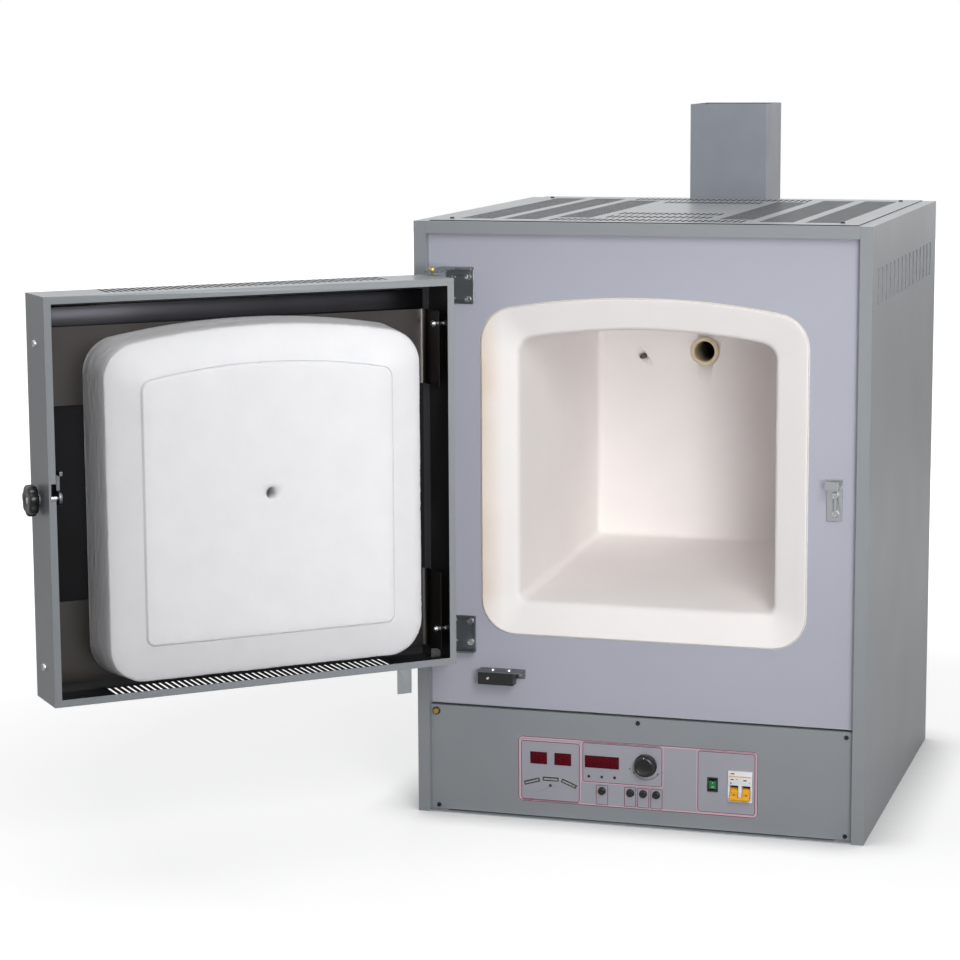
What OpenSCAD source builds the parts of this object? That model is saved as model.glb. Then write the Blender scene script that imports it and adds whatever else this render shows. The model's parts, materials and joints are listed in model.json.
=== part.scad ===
// Front loading jewellery kiln: sheet metal cabinet, refractory muffle, side hung
// door with a plug liner, exhaust duct with a fan, and a control panel below.
// X runs right, Y runs back, Z runs up. The origin is the middle of the
// cabinet's footprint, on the floor.

/* [Cabinet] */
// Overall width of the cabinet
body_w = 670; // [600:2:804]
// Depth of the cabinet without the duct
body_d = 640; // [580:5:760]
// Height of the cabinet frame
body_h = 885; // [821:1:1062]
// Thickness of the folded steel sheet
sheet_t = 1.2; // [0.8:0.1:2]
// Width of the flange around the cabinet's front
flange_w = 18; // [12:1:24]
// Width of the flanges on top, behind and below
seat_w = 44; // [36:1:50]
// How far the top cover's long edges stay in from the sides
cover_inset = 22; // [16:1:26]
// Setback of the front panel behind the front flange
panel_back = 16; // [12:1:24]
// Height of the control compartment
deck_h = 167; // [160:1:200]

/* [Cabinet vents] */
// Pitch of the vent slots in the top cover and in the door
slot_pitch = 9.3; // [8:0.1:14]
// Width of one vent slot
slot_w = 4.6; // [3:0.1:6]
// Length of the slots in one long band of the top cover
band_w = 50; // [40:1:54]
// Distance between the long bands
band_pitch = 67; // [62:1:70]
// Distance of the outer band from the cover's edge
band_edge = 33; // [28:1:38]
// Length of the slots that run front to back in the top cover
row_slot = 46; // [20:1:50]
// Distance between those rows of slots
row_pitch = 77; // [60:1:80]
// Number of louvre slots in each side
louvres = 15; // [8:1:18]
// Height of the louvre slots
louvre_h = 51; // [30:1:70]

/* [Chamber] */
// Width of the chamber at its mouth
chamber_w = 380.5; // [317.5:0.5:400]
// Height of the chamber from its sill to its crown
chamber_h = 406; // [340:1:430]
// Depth of the chamber behind the mouth bevel
chamber_d = 404; // [340:1:420]
// Sideways place of the chamber from the cabinet's middle
chamber_x = 3.4; // [0:0.1:8]
// Height of the sill above the control compartment
sill_up = 156; // [140:1:170]
// How much each side wall closes in towards the back
side_draft = 17; // [0:1:20]
// How much the floor rises towards the back
floor_rise = 32; // [0:1:36]
// Depth of the bevel around the mouth
bevel_d = 24; // [16:1:30]
// Width of the bevel at the sides
border_w = 50.75; // [40:0.25:56]
// Width of the bevel below the mouth
border_low = 46; // [40:1:56]
// Width of the bevel above the crown
border_top = 47; // [40:1:56]
// Thickness of the muffle's back wall
back_wall = 35; // [25:1:50]
// Thickness of the fibre insulation around the muffle
insulation_t = 36; // [25:1:40]

/* [Heating] */
// Heating rods in each side wall of the muffle
rods_a_side = 5; // [3:1:7]
// Radius of a heating rod
rod_r = 5; // [4:0.5:7]
// Clearance between a rod and its channel
rod_gap = 0.3; // [0.2:0.1:1]
// Outer radius of the vent tube
tube_r = 22.5; // [18:0.5:26]
// Bore radius of the vent tube
tube_bore_r = 16; // [12:0.5:18]
// Height of the vent tube's axis
tube_z = 656; // [600:1:680]

/* [Exhaust duct] */
// Outside width and depth of the square duct
duct_w = 126; // [124:1:151]
// Height of the duct's rim above the cabinet frame
duct_up = 154; // [80:1:250]
// Height at which the duct starts
duct_z0 = 590; // [560:1:620]
// Sideways place of the duct from the cabinet's middle
duct_x = -4.6; // [-20:0.1:20]
// Side of the square fan frame
fan_w = 120; // [118:1:120]
// Thickness of the fan frame
fan_t = 38; // [25:1:38]
// Number of fan blades
fan_blades = 7; // [5:1:9]

/* [Door] */
// Gap between the hinge side flange and the door
door_gap_hinge = 24.6; // [22:0.1:30]
// Gap between the latch side flange and the door
door_gap_latch = 9.3; // [6:0.1:14]
// Gap between the control compartment and the door
door_gap_low = 86; // [80:1:96]
// Gap between the top flange and the door
door_gap_top = 56; // [46:1:70]
// Thickness of the door pan
door_t = 84; // [70:1:100]
// How far the rim stops short of the front panel
rim_gap = 8; // [6:0.5:10]
// Width of the rim's inward lip
lip_w = 10; // [8:0.5:12]
// Angle at which the door stands open
door_open = 137.4; // [0:0.1:175]
// Distance of the hinge pin from the door's hinge edge
pin_in = 3.9; // [3.7:0.1:6]
// Distance of the hinge pin behind the door's outer face
pin_back = 19.7; // [16:0.1:24]
// Radius of the hinge pins
pin_r = 2.4; // [2:0.1:2.6]
// Running clearance of pins and shafts, on the radius
run_gap = 0.05; // [0.02:0.01:0.1]

/* [Door liner] */
// Width of the liner where it meets the muffle
liner_w = 466; // [440:1:470]
// Sideways place of the liner from the cabinet's middle
liner_x = -4; // [-5:0.1:0]
// Clearance between the liner and the muffle at the front
liner_gap = 1; // [0.5:0.1:3]
// Drop of the liner's crown below the muffle's crown
liner_drop = 15; // [10:1:20]
// Width of the raised middle of the liner
plug_w = 367; // [330:1:368]
// How much wider the liner's foot is on each side
liner_flare = 7; // [0:1:10]
// Radius of the peephole
peep_r = 8.5; // [6:0.5:12]
// Height of the peephole's axis
peep_z = 529; // [480:1:560]

/* [Latch and interlock] */
// Height of the latch spindle
latch_z = 533; // [500:1:560]
// Diameter of the latch knob
latch_knob_d = 45; // [40:1:50]
// Radius of the latch spindle
spindle_r = 4; // [3:0.5:5]
// Travel of the interlock plunger
plunger_travel = 3; // [2:0.5:4]

/* [Control panel] */
// Setback of the control panel behind the front flange
control_back = 12; // [8:1:14]
// Distance of the overlay from the cabinet's left edge
overlay_x = 153; // [120:1:180]
// Height of the overlay's lower edge
overlay_z = 24.5; // [16:0.5:34]
// Width of the overlay
overlay_w = 361; // [361:1:400]
// Height of the overlay
overlay_h = 99; // [99:1:110]
// Thickness of the overlay
overlay_t = 0.6; // [0.3:0.1:1]
// Diameter of the setting knob
knob_d = 34; // [28:1:36]
// How far the setting knob stands out
knob_out = 16; // [12:1:20]
// Diameter of a push button
button_d = 11.4; // [8:0.1:12]
// Travel of a push button
button_travel = 1.5; // [0.8:0.1:2]

/* [Hidden] */

$fn = 48;

// Cabinet faces
xl = -body_w / 2;
xr = body_w / 2;
yf = -body_d / 2;
yb = body_d / 2;
fit_gap = 0.3;
touch = 0.05;
cut = 1;
cover_z = body_h + sheet_t;
deck_t = 1.2;
deck_z = deck_h - sheet_t - deck_t;
panel_y = yf + panel_back;
control_y = yf + control_back;
control_top = deck_h - 5;
corner_fold = 15;
cover_front = 8;
band_end = 52;
band_slot_w = 5.8;
row_edge = 34;
wide_row = 140;
narrow_row = 76;
row_to_band = 20;
louvre_front = 47;
louvre_rear = 28;
louvre_top = 62;
louvre_share = 0.4;
rear_vent_x = 190;
rear_vent_half = 45;
rear_vent_n = 10;
rear_vent_z = [90, 135];
rear_gap = 2;
rear_gland_r = 10;
deck_vent_x = 200;
deck_vent_half = 60;
deck_vent_n = 8;
deck_vent_y = 150;
deck_vent_w = 5;
deck_vent_pitch = 12;
panel_fold = 30;
control_fold = 20;

// Screw sizes: head radius, head height and shank radius
small_screw = [3.5, 2.2, 2];
big_screw = [5.5, 3.2, 3];
screw_l = 8;
cover_screws = [[45, 45], [body_w - 50, 45], [45, body_d - 45], [body_w - 50, body_d - 45]];
control_screws = [[28.6, 8], [body_w / 2, 154], [body_w - 28.6, 154], [body_w - 28.6, 8]];
rear_screws = [for (x = [14, body_w - 14]) for (z = [60, body_h / 2, body_h - 60]) [x, z]];
ground_at = [25.5, 152.8];

// Chamber outline: sill, crown and corner radii
sill_z = deck_h + sill_up;
crown_z = sill_z + chamber_h;
mouth_y = control_y + bevel_d;
cave_y = mouth_y + chamber_d;
muffle_y = cave_y + back_wall;
arch_n = 16;
corner_n = 8;
collar_w = chamber_w + 2 * border_w;
collar_z0 = sill_z - border_low;
collar_z1 = crown_z + border_top;
collar_rise = 26;
collar_r = 50;
mouth_rise = 18;
mouth_r = 26;
mouth_low_r = 12;
back_r = 20;
collar_gap = 2;
casing_gap = 0.5;
casing_wall = 1;
casing_x0 = chamber_x - collar_w / 2 - insulation_t - casing_gap - casing_wall;
casing_x1 = chamber_x + collar_w / 2 + insulation_t + casing_gap + casing_wall;
casing_z0 = collar_z0 - insulation_t - casing_gap - casing_wall;
casing_z1 = collar_z1 + insulation_t + casing_gap + casing_wall;
casing_y0 = panel_y + sheet_t + touch;
casing_y1 = muffle_y + insulation_t + casing_gap + casing_wall;
support_w = 40;
support_in = 60;
support_end = 40;
support_t = 2;

// Heating rods and thermocouple
rod_y0 = mouth_y + 30;
rod_y1 = casing_y1 + 34;
rod_end_gap = 2;
clamp_half = 14;
clamp_deep = 24;
clamp_up = 20;
probe_head_r = 14;
probe_head_l = 22;
probe_nut_r = 9;
rod_side_x = collar_w / 2 - border_w / 2 + 3;
rod_z0 = sill_z + 45;
rod_pitch = (chamber_h - 120) / (rods_a_side - 1);
rod_zs = [for (i = [0:rods_a_side - 1]) rod_z0 + i * rod_pitch];
probe_x = chamber_x - 99.5;
probe_z = tube_z - 10;
probe_r = 4;
probe_tip = 12;
tube_tip = 8;

// Duct and fan
duct_x0 = duct_x - duct_w / 2;
duct_y0 = yb;
duct_z1 = body_h + duct_up;
fan_z = body_h - 145;
fan_seat = 7.2;
ledge_w = (duct_w - 2 * sheet_t - fan_w) / 2 + fan_seat;
ledge_t = 1.5;
fan_bore_r = fan_w / 2 - 2.5;
fan_hub_r = 20;
fan_tip_gap = 1;
fan_shaft_r = 2;
fan_y = duct_y0 + duct_w / 2;

// Door
door_x0 = xl + flange_w + door_gap_hinge;
door_x1 = xr - flange_w - door_gap_latch;
door_z0 = deck_h + door_gap_low;
door_z1 = body_h - flange_w - door_gap_top;
rim_y = panel_y - rim_gap;
face_y = rim_y - door_t;
pin_x = door_x0 + pin_in;
pin_y = face_y + pin_back;
pin_head_r = 5;
pin_head_t = 3;
boss_h = 14;
tongue_t = 3;
tongue_gap = 4;
plate_t = 3;
plate_y = panel_y - plate_t;
plate_x0 = door_x0 + 2.4;
hinge_plate_w = 42;
hinge_plate_h = 47;
upper_plate_z = [door_z1 - hinge_plate_h, door_z1 + tongue_gap + tongue_t];
lower_plate_z = [door_z0 - tongue_gap - tongue_t, door_z0 + hinge_plate_h];
liner_front = control_y - liner_gap;
liner_back = face_y + 18;
liner_z0 = collar_z0;
liner_z1 = collar_z1 - liner_drop;
plug_z0 = sill_z + 8;
plug_z1 = crown_z - 19;
plug_r = 16;
strip_t = 1;
board_t = 13;
strip_x0 = door_x0 + 15;
strip_x1 = door_x1 - sheet_t - touch;
strip_low = [door_z0 + 18, door_z0 + 132];
strip_high = [door_z1 - 155, door_z1 - 47.5];
strip_lip_y = liner_back + 48;
strip_screw_y = rim_y - 44;
hinge_screw_y = rim_y - 28;
strip_screw_l = 12;
hinge_rod_l = 24;
nut_r = 5;
nut_t = 4;
door_slots_n = 45;
door_slots_x = 88;
slot_y0 = face_y + 4;
slot_y1 = face_y + 54;
plug_x = liner_x + 3.5;
peep_x = plug_x - 1.5;
cover_r = 20;
cover_t = 3;
cover_up = 32;

// Latch
latch_y = liner_back + 17;
cam_x0 = door_x1 - 31;
cam_t = 5;
cam_reach = 37;
knob_off = 4;
knob_t = 14;
strike_x0 = door_x1 - 34.7;
strike_w = 22.5;
strike_z0 = latch_z - 66;
strike_z1 = latch_z - 18;
tongue_out = 27;
tongue_lip = 12;
hook_in = plate_y - tongue_out + 4 - latch_y;
boss_r = 9;
boss_out = 1.5;

// Interlock
switch_x0 = door_x0 + 54.4;
switch_w = 54;
switch_z0 = deck_h + 36;
switch_h = 18;
switch_y0 = panel_y - 26;
bracket_z = switch_z0 + switch_h;
bracket_w = 66;
plunger_x = switch_x0 + 16;
plunger_z = switch_z0 + 10;
plunger_r = 1.8;
tab_w = 22;
tab_t = 2;

// Places on the overlay, from its lower left corner
small_display = [25.4, 18];
small_at = [[31, 66.9], [68, 66.9]];
main_size = [51.6, 18];
main_at = [127.7, 66.9];
led_bar = [24, 5.5];
led_bars_at = [[20.8, 30.5, 17], [49.5, 35.7, 0], [77.6, 30.8, -22]];
led_r = 1.9;
leds_at = [[49.1, 25.9], [108, 44.5], [127.5, 44.7], [147.2, 44.9]];
button_at = [[128, 23.7], [171, 23.8], [190.5, 23.8], [210, 23.7]];
knob_at = [194.5, 67.5];
knob_shaft_r = 3;
rocker_at = [294.4, 46.2];
rocker_size = [15.7, 21.4];
breaker_at = [335.2, 46];
breaker_size = [35.8, 46];
breaker_h = 85;
breaker_deep = 58;
toggle_y = 5;
toggle_z = -9.5;
rail_x = [-30, 60];
rail_t = 7.5;
rail_half = 17.5;
board_y = 14;
board_thick = 1.6;
board_x = [8, 232];
board_z = [6, 92];
board_post_in = 6;
socket = [[60, 110], 12, [20, 40]];
sink_x = [60, 180];
sink_y = [-60, 60];
sink_z = [45, 51];
fin_n = 10;
fin_pitch = 13;
fin_t = 3;
relay = [[95, 140], [-30, 28], 25];
block_x = -230;
block_n = 8;
block_pitch = 13.6;
gland_at = [xr - 90, 50];
gland_bore_r = 6;

// Outlines of the muffle's collar, of its mouth and of the cave's back
collar_line = arch_outline(chamber_x, collar_w, collar_z0, collar_z1, collar_rise, collar_r, collar_r);
mouth_line = arch_outline(chamber_x, chamber_w, sill_z, crown_z, mouth_rise, mouth_r, mouth_low_r);
back_line = arch_outline(chamber_x, chamber_w - 2 * side_draft, sill_z + floor_rise,
    crown_z - side_draft, mouth_rise, back_r, mouth_low_r);

// A box given by its span along each axis
module span(x, y, z) {
    translate([x[0], y[0], z[0]]) cube([x[1] - x[0], y[1] - y[0], z[1] - z[0]]);
}

// A cylinder along X, Y or Z, from a point
module rod_x(p, r, l) { translate(p) rotate([0, 90, 0]) cylinder(r = r, h = l); }
module rod_y(p, r, l) { translate(p) rotate([-90, 0, 0]) cylinder(r = r, h = l); }
module rod_z(p, r, l) { translate(p) cylinder(r = r, h = l); }

// Points of an arc, from one angle to the other
function arc(c, r, a0, a1, n) = [for (i = [0:n]) let (a = a0 + (a1 - a0) * i / n)
    [c[0] + r * cos(a), c[1] + r * sin(a)]];

// A doorway outline: flat sill, upright sides and a low arch, with round corners
function arch_outline(cx, w, z0, z1, rise, r, low_r) =
    let (h = w / 2, big = (h * h + rise * rise) / (2 * rise), zc = z1 - big)
    let (zk = zc + sqrt((big - r) * (big - r) - (h - r) * (h - r)), a = atan2(zk - zc, h - r))
    concat(
        arc([cx + h - low_r, z0 + low_r], low_r, -90, 0, corner_n),
        arc([cx + h - r, zk], r, 0, a, corner_n),
        arc([cx, zc], big, a, 180 - a, arch_n),
        arc([cx - h + r, zk], r, 180 - a, 180, corner_n),
        arc([cx - h + low_r, z0 + low_r], low_r, 180, 270, corner_n));

// A skin through outlines that stand at given places along Y
module loft(ys, outlines) {
    n = len(outlines[0]);
    points = [for (i = [0:len(ys) - 1]) for (p = outlines[i]) [p[0], ys[i], p[1]]];
    sides = [for (i = [0:len(ys) - 2]) for (j = [0:n - 1])
        [i * n + j, i * n + (j + 1) % n, (i + 1) * n + (j + 1) % n, (i + 1) * n + j]];
    first = [for (j = [n - 1:-1:0]) j];
    last = [for (j = [0:n - 1]) (len(ys) - 1) * n + j];
    polyhedron(points, concat([first], sides, [last]), convexity = 4);
}

// An outline pushed straight back along Y
module prism(outline, y0, y1) {
    translate([0, y1, 0]) rotate([90, 0, 0]) linear_extrude(y1 - y0) polygon(outline);
}

// A pan head screw: its head stands on the origin and its shank runs along +Z
module screw(size, l) {
    translate([0, 0, -size[1]]) difference() {
        cylinder(r1 = size[0] - 0.8, r2 = size[0], h = size[1], $fn = 32);
        for (a = [0, 90]) rotate([0, 0, a])
            translate([-size[0] / 2, -0.4, -cut]) cube([size[0], 0.8, cut + size[1] / 2]);
    }
    cylinder(r = size[2] - touch, h = l, $fn = 24);
}

// A screw pushed in along +Y, +X, -Y or -Z
module screw_back(p, size, l) { translate(p) rotate([-90, 0, 0]) screw(size, l); }
module screw_fore(p, size, l) { translate(p) rotate([90, 0, 0]) screw(size, l); }
module screw_down(p, size, l) { translate(p) rotate([180, 0, 0]) screw(size, l); }
module screw_left(p, size, l) { translate(p) rotate([0, -90, 0]) screw(size, l); }

// Cabinet sheet work

module side_panel() {
    // Drawn as the left side, the right side is its mirror image
    x = xl;
    difference() {
        union() {
            span([x, x + sheet_t], [yf, yb], [0, body_h]);
            span([x, x + flange_w], [yf, yf + sheet_t], [0, body_h]);
            span([x + flange_w - sheet_t, x + flange_w], [yf, panel_y - touch],
                [sheet_t + touch, body_h - flange_w - touch]);
            span([x, x + seat_w], [yf + sheet_t + touch, yb - sheet_t], [body_h - sheet_t, body_h]);
            span([x, x + seat_w], [yf + sheet_t, yb - 2 * sheet_t], [sheet_t, 2 * sheet_t]);
            span([x, x + flange_w], [yb - 2 * sheet_t, yb - sheet_t], [0, body_h]);
        }
        louvre_cuts(x);
        for (p = cover_screws) {
            in_x = min(p[0], body_w - p[0]);
            rod_z([xl + in_x, yf + p[1], body_h - 2 * sheet_t], small_screw[2], 3 * sheet_t, $fn = 24);
        }
        for (p = rear_screws) {
            in_x = min(p[0], body_w - p[0]);
            rod_y([xl + in_x, yb - 3 * sheet_t, p[1]], small_screw[2], 3 * sheet_t, $fn = 24);
        }
    }
}

module louvre_cuts(x) {
    pitch = (body_d - louvre_front - louvre_rear) / louvres;
    for (i = [0:louvres - 1]) {
        y = yf + louvre_front + i * pitch;
        span([x - cut, x + sheet_t + cut], [y, y + pitch * louvre_share],
            [body_h - louvre_top - louvre_h, body_h - louvre_top]);
    }
}

module left_side_panel() { color("#8F9698") side_panel(); }

module right_side_panel() { color("#8F9698") mirror([1, 0, 0]) side_panel(); }

module front_top_rail() {
    x = [xl + flange_w + touch, xr - flange_w - touch];
    color("#8F9698") {
        span(x, [yf, yf + sheet_t], [body_h - flange_w, body_h]);
        span(x, [yf, panel_y - touch], [body_h - flange_w, body_h - flange_w + sheet_t]);
        span([xl + seat_w + touch, xr - seat_w - touch], [yf, yf + corner_fold], [body_h - sheet_t, body_h]);
    }
}

module slot_band(x, y0, y1) {
    n = floor((y1 - y0) / slot_pitch);
    for (i = [0:n]) translate([x, y0 + i * slot_pitch]) square([band_w, band_slot_w]);
}

module slot_row(half, y) {
    n = floor(2 * half / slot_pitch);
    for (i = [0:n]) translate([(i - n / 2) * slot_pitch - slot_w / 2, y]) square([slot_w, row_slot]);
}

module top_cover() {
    x0 = xl + cover_inset;
    rows = [yf + row_edge, yb - row_edge - row_slot];
    color("#9CA0A4") translate([0, 0, body_h]) linear_extrude(sheet_t) difference() {
        translate([x0, yf + cover_front]) square([body_w - 2 * cover_inset, body_d - cover_front - sheet_t]);
        for (side = [0, 1]) mirror([side, 0]) {
            for (i = [0, 1]) slot_band(x0 + band_edge + i * band_pitch, yf + band_end, yb - band_end);
            slot_band(x0 + band_edge + 2 * band_pitch, rows[0] + row_slot + row_to_band,
                rows[1] - row_to_band);
        }
        for (y = rows) slot_row(wide_row, y);
        for (y = [rows[0] + row_pitch, rows[0] + 2 * row_pitch, rows[1] - row_pitch]) slot_row(narrow_row, y);
        for (p = cover_screws) translate([xl + p[0], yf + p[1]]) circle(small_screw[2], $fn = 24);
    }
}

module rear_panel() {
    color("#8F9698") difference() {
        span([xl + rear_gap, xr - rear_gap], [yb - sheet_t, yb], [rear_gap, body_h - rear_gap]);
        rod_y([chamber_x, yb - cut - sheet_t, tube_z], tube_r + fit_gap, 2 * cut + sheet_t);
        rod_y([gland_at[0], yb - cut - sheet_t, gland_at[1]], rear_gland_r, 2 * cut + sheet_t);
        for (p = rear_screws) {
            rod_y([xl + p[0], yb - cut - sheet_t, p[1]], small_screw[2], 2 * cut + sheet_t, $fn = 24);
        }
        for (side = [-1, 1]) for (i = [0:rear_vent_n - 1]) {
            x = side * rear_vent_x - rear_vent_half + i * slot_pitch;
            span([x, x + slot_w], [yb - cut - sheet_t, yb + cut], rear_vent_z);
        }
    }
}

module base_plate() {
    // The folded sheet floor, with the upright that carries the breaker's rail
    bx = xl + overlay_x + breaker_at[0];
    rail_y = control_y + breaker_deep + 1;
    rail = [bx, bx] + rail_x;
    mid_z = overlay_z + breaker_at[1];
    color("#7A8082") {
        span([xl + sheet_t + touch, xr - sheet_t - touch],
            [yf + sheet_t + touch, yb - 2 * sheet_t - touch], [0, sheet_t]);
        span(rail, [rail_y + rail_t, rail_y + rail_t + 1.5], [sheet_t, mid_z + rail_half + 7.5]);
        span(rail, [rail_y + touch, rail_y + rail_t], [mid_z - rail_half, mid_z + rail_half]);
    }
}

module partition_deck() {
    color("#7A8082") difference() {
        span([xl + sheet_t + touch, xr - sheet_t - touch], [panel_y + touch, yb - 2 * sheet_t - touch],
            [deck_z, deck_z + deck_t]);
        for (side = [-1, 1]) for (i = [0:deck_vent_n - 1]) {
            x = side * deck_vent_x;
            y = deck_vent_y + i * deck_vent_pitch;
            span([x - deck_vent_half, x + deck_vent_half], [y, y + deck_vent_w],
                [deck_z - cut, deck_z + deck_t + cut]);
        }
    }
}

module front_panel() {
    color("#A8AAB8") difference() {
        union() {
            span([xl + sheet_t + touch, xr - sheet_t - touch], [panel_y, panel_y + sheet_t],
                [deck_h - sheet_t, body_h - sheet_t - touch]);
            span([xl + sheet_t + touch, xr - sheet_t - touch], [panel_y, panel_y + panel_fold],
                [deck_h - sheet_t, deck_h]);
        }
        translate([chamber_x, 0, 0]) prism(arch_outline(0, collar_w + 2 * collar_gap,
            collar_z0 - collar_gap, collar_z1 + collar_gap, collar_rise, collar_r + collar_gap,
            collar_r + collar_gap), panel_y - cut, panel_y + sheet_t + cut);
        for (p = concat(hinge_holes(), strike_holes())) {
            rod_y([p[0], panel_y - cut, p[1]], p[2], 2 * cut + sheet_t, $fn = 24);
        }
        for (x = interlock_fix_x()) {
            rod_y([x, panel_y - cut, bracket_z - 6], small_screw[2], 2 * cut + sheet_t, $fn = 24);
        }
    }
}

module control_panel() {
    color("#7E8486") difference() {
        union() {
            span([xl + flange_w + touch, xr - flange_w - touch], [control_y, control_y + sheet_t],
                [2 * sheet_t + touch, control_top]);
            span([xl + flange_w + touch, xr - flange_w - touch], [control_y, control_y + control_fold],
                [control_top - sheet_t, control_top]);
        }
        on_panel() panel_cuts(sheet_t);
        for (p = control_screws) {
            rod_y([xl + p[0], control_y - cut, p[1]], small_screw[2], sheet_t + 2 * cut, $fn = 24);
        }
        rod_y([xl + ground_at[0], control_y - cut, ground_at[1]], 3, sheet_t + 2 * cut, $fn = 24);
    }
}

// Places a child on the control panel's face, at the overlay's lower left corner
module on_panel() { translate([xl + overlay_x, control_y, overlay_z]) children(); }

// Openings that the panel and its overlay share
module panel_cuts(t) {
    gap = fit_gap;
    for (p = small_at) window(p, small_display, gap, t);
    window(main_at, main_size, gap, t);
    for (p = led_bars_at) {
        translate([p[0], 0, p[1]]) rotate([0, -p[2], 0]) window([0, 0], led_bar, gap, t);
    }
    for (p = leds_at) rod_y([p[0], -cut, p[1]], led_r + gap, t + 2 * cut, $fn = 24);
    for (p = button_at) rod_y([p[0], -cut, p[1]], button_d / 2 + gap, t + 2 * cut, $fn = 32);
    rod_y([knob_at[0], -cut, knob_at[1]], knob_shaft_r + 1.5, t + 2 * cut, $fn = 32);
    window(rocker_at, rocker_size - [2, 2], 0, t);
    window(breaker_at, breaker_size, gap, t);
}

module window(p, size, gap, t) {
    span([p[0] - size[0] / 2 - gap, p[0] + size[0] / 2 + gap], [-cut, t + cut],
        [p[1] - size[1] / 2 - gap, p[1] + size[1] / 2 + gap]);
}

module panel_overlay() {
    color("#C4C6CC") on_panel() translate([0, -overlay_t, 0]) difference() {
        span([0, overlay_w], [0, overlay_t], [0, overlay_h]);
        panel_cuts(overlay_t);
    }
}

// Chamber

module muffle() {
    color("#E8E0DC") difference() {
        prism(collar_line, control_y, muffle_y);
        loft([control_y - cut, control_y, mouth_y, cave_y],
            [collar_line, collar_line, mouth_line, back_line]);
        for (side = [-1, 1]) for (z = rod_zs) {
            rod_y([chamber_x + side * rod_side_x, rod_y0, z], rod_r + rod_gap, muffle_y - rod_y0 + cut);
        }
        rod_y([chamber_x, cave_y - cut, tube_z], tube_r + touch, back_wall + 2 * cut);
        rod_y([probe_x, cave_y - cut, probe_z], probe_r + touch, back_wall + 2 * cut);
    }
}

module insulation_block() {
    color("#F0EDE6") difference() {
        span([casing_x0 + casing_wall, casing_x1 - casing_wall] + [casing_gap, -casing_gap],
            [casing_y0, casing_y1 - casing_wall - casing_gap],
            [casing_z0 + casing_wall, casing_z1 - casing_wall] + [casing_gap, -casing_gap]);
        prism(arch_outline(chamber_x, collar_w + 2 * touch, collar_z0 - touch, collar_z1 + touch,
            collar_rise, collar_r + touch, collar_r + touch), casing_y0 - cut, muffle_y + touch);
        rear_passages(casing_y1 - insulation_t - casing_wall - 2, insulation_t + 4);
    }
}

// Holes behind the muffle for the rods, the tube and the probe
module rear_passages(y, l) {
    for (side = [-1, 1]) for (z = rod_zs) {
        rod_y([chamber_x + side * rod_side_x, y, z], rod_r + rod_gap, l);
    }
    rod_y([chamber_x, y, tube_z], tube_r + touch, l);
    rod_y([probe_x, y, probe_z], probe_r + touch, l);
}

module inner_casing() {
    // Open in front, where the front panel closes it
    color("#B8BABC") difference() {
        span([casing_x0, casing_x1], [casing_y0, casing_y1], [casing_z0, casing_z1]);
        span([casing_x0, casing_x1] + [casing_wall, -casing_wall],
            [casing_y0 - cut, casing_y1 - casing_wall], [casing_z0, casing_z1] + [casing_wall, -casing_wall]);
        rear_passages(casing_y1 - casing_wall - cut, casing_wall + 2 * cut);
    }
}

module chamber_supports() {
    // Two folded channels that carry the chamber on the deck
    y = [casing_y0 + support_end, casing_y1 - support_end];
    z = [deck_z + deck_t, casing_z0];
    wall = [support_t, -support_t];
    for (x = [casing_x0 + support_in, casing_x1 - support_in - support_w]) {
        color("#7A8082") difference() {
            span([x, x + support_w], y, z);
            span([x, x + support_w] + wall, y + [-cut, cut], z + wall);
        }
    }
}

module heating_elements() {
    y = rod_y0 + rod_end_gap;
    for (side = [-1, 1]) for (z = rod_zs) {
        color("#5A5048") rod_y([chamber_x + side * rod_side_x, y, z], rod_r, rod_y1 - y);
    }
}

module heater_terminals() {
    // A ceramic strip on each side with a clamp for every rod end
    for (side = [-1, 1]) {
        x = chamber_x + side * rod_side_x;
        color("#D8D2C4") difference() {
            span([x - clamp_half, x + clamp_half], [casing_y1 + touch, casing_y1 + clamp_deep],
                [rod_z0 - clamp_up, rod_zs[rods_a_side - 1] + clamp_up]);
            for (z = rod_zs) rod_y([x, casing_y1 - cut, z], rod_r + rod_gap, clamp_deep + 2 * cut);
        }
    }
}

module thermocouple() {
    y1 = casing_y1 + 30;
    color("#6E6258") {
        rod_y([probe_x, cave_y - probe_tip, probe_z], probe_r, y1 - cave_y + probe_tip);
        rod_y([probe_x, y1, probe_z], probe_head_r, probe_head_l);
        rod_y([probe_x, casing_y1 + touch, probe_z], probe_nut_r, 6);
    }
}

module vent_tube() {
    color("#D8C8A8") rod_pipe([chamber_x, cave_y - tube_tip, tube_z], tube_r, tube_bore_r,
        yb + 12 - cave_y + tube_tip);
}

module rod_pipe(p, r, bore, l) {
    difference() {
        rod_y(p, r, l);
        rod_y(p - [0, cut, 0], bore, l + 2 * cut);
    }
}

// Exhaust duct and its fan

module exhaust_duct() {
    x = [duct_x0, duct_x0 + duct_w];
    y = [duct_y0 + touch, duct_y0 + duct_w];
    inside = [sheet_t, -sheet_t];
    ledge = inside + [ledge_w, -ledge_w];
    color("#868A90") {
        difference() {
            span(x, y, [duct_z0, duct_z1]);
            span(x + inside, y + inside, [duct_z0 + sheet_t, duct_z1 + cut]);
            rod_y([chamber_x, duct_y0 - cut, tube_z], tube_r + fit_gap, 10);
        }
        difference() {
            span(x + inside / 2, y + inside / 2, [fan_z - ledge_t, fan_z]);
            span(x + ledge, y + ledge, [fan_z - ledge_t - cut, fan_z + cut]);
        }
    }
}

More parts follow.
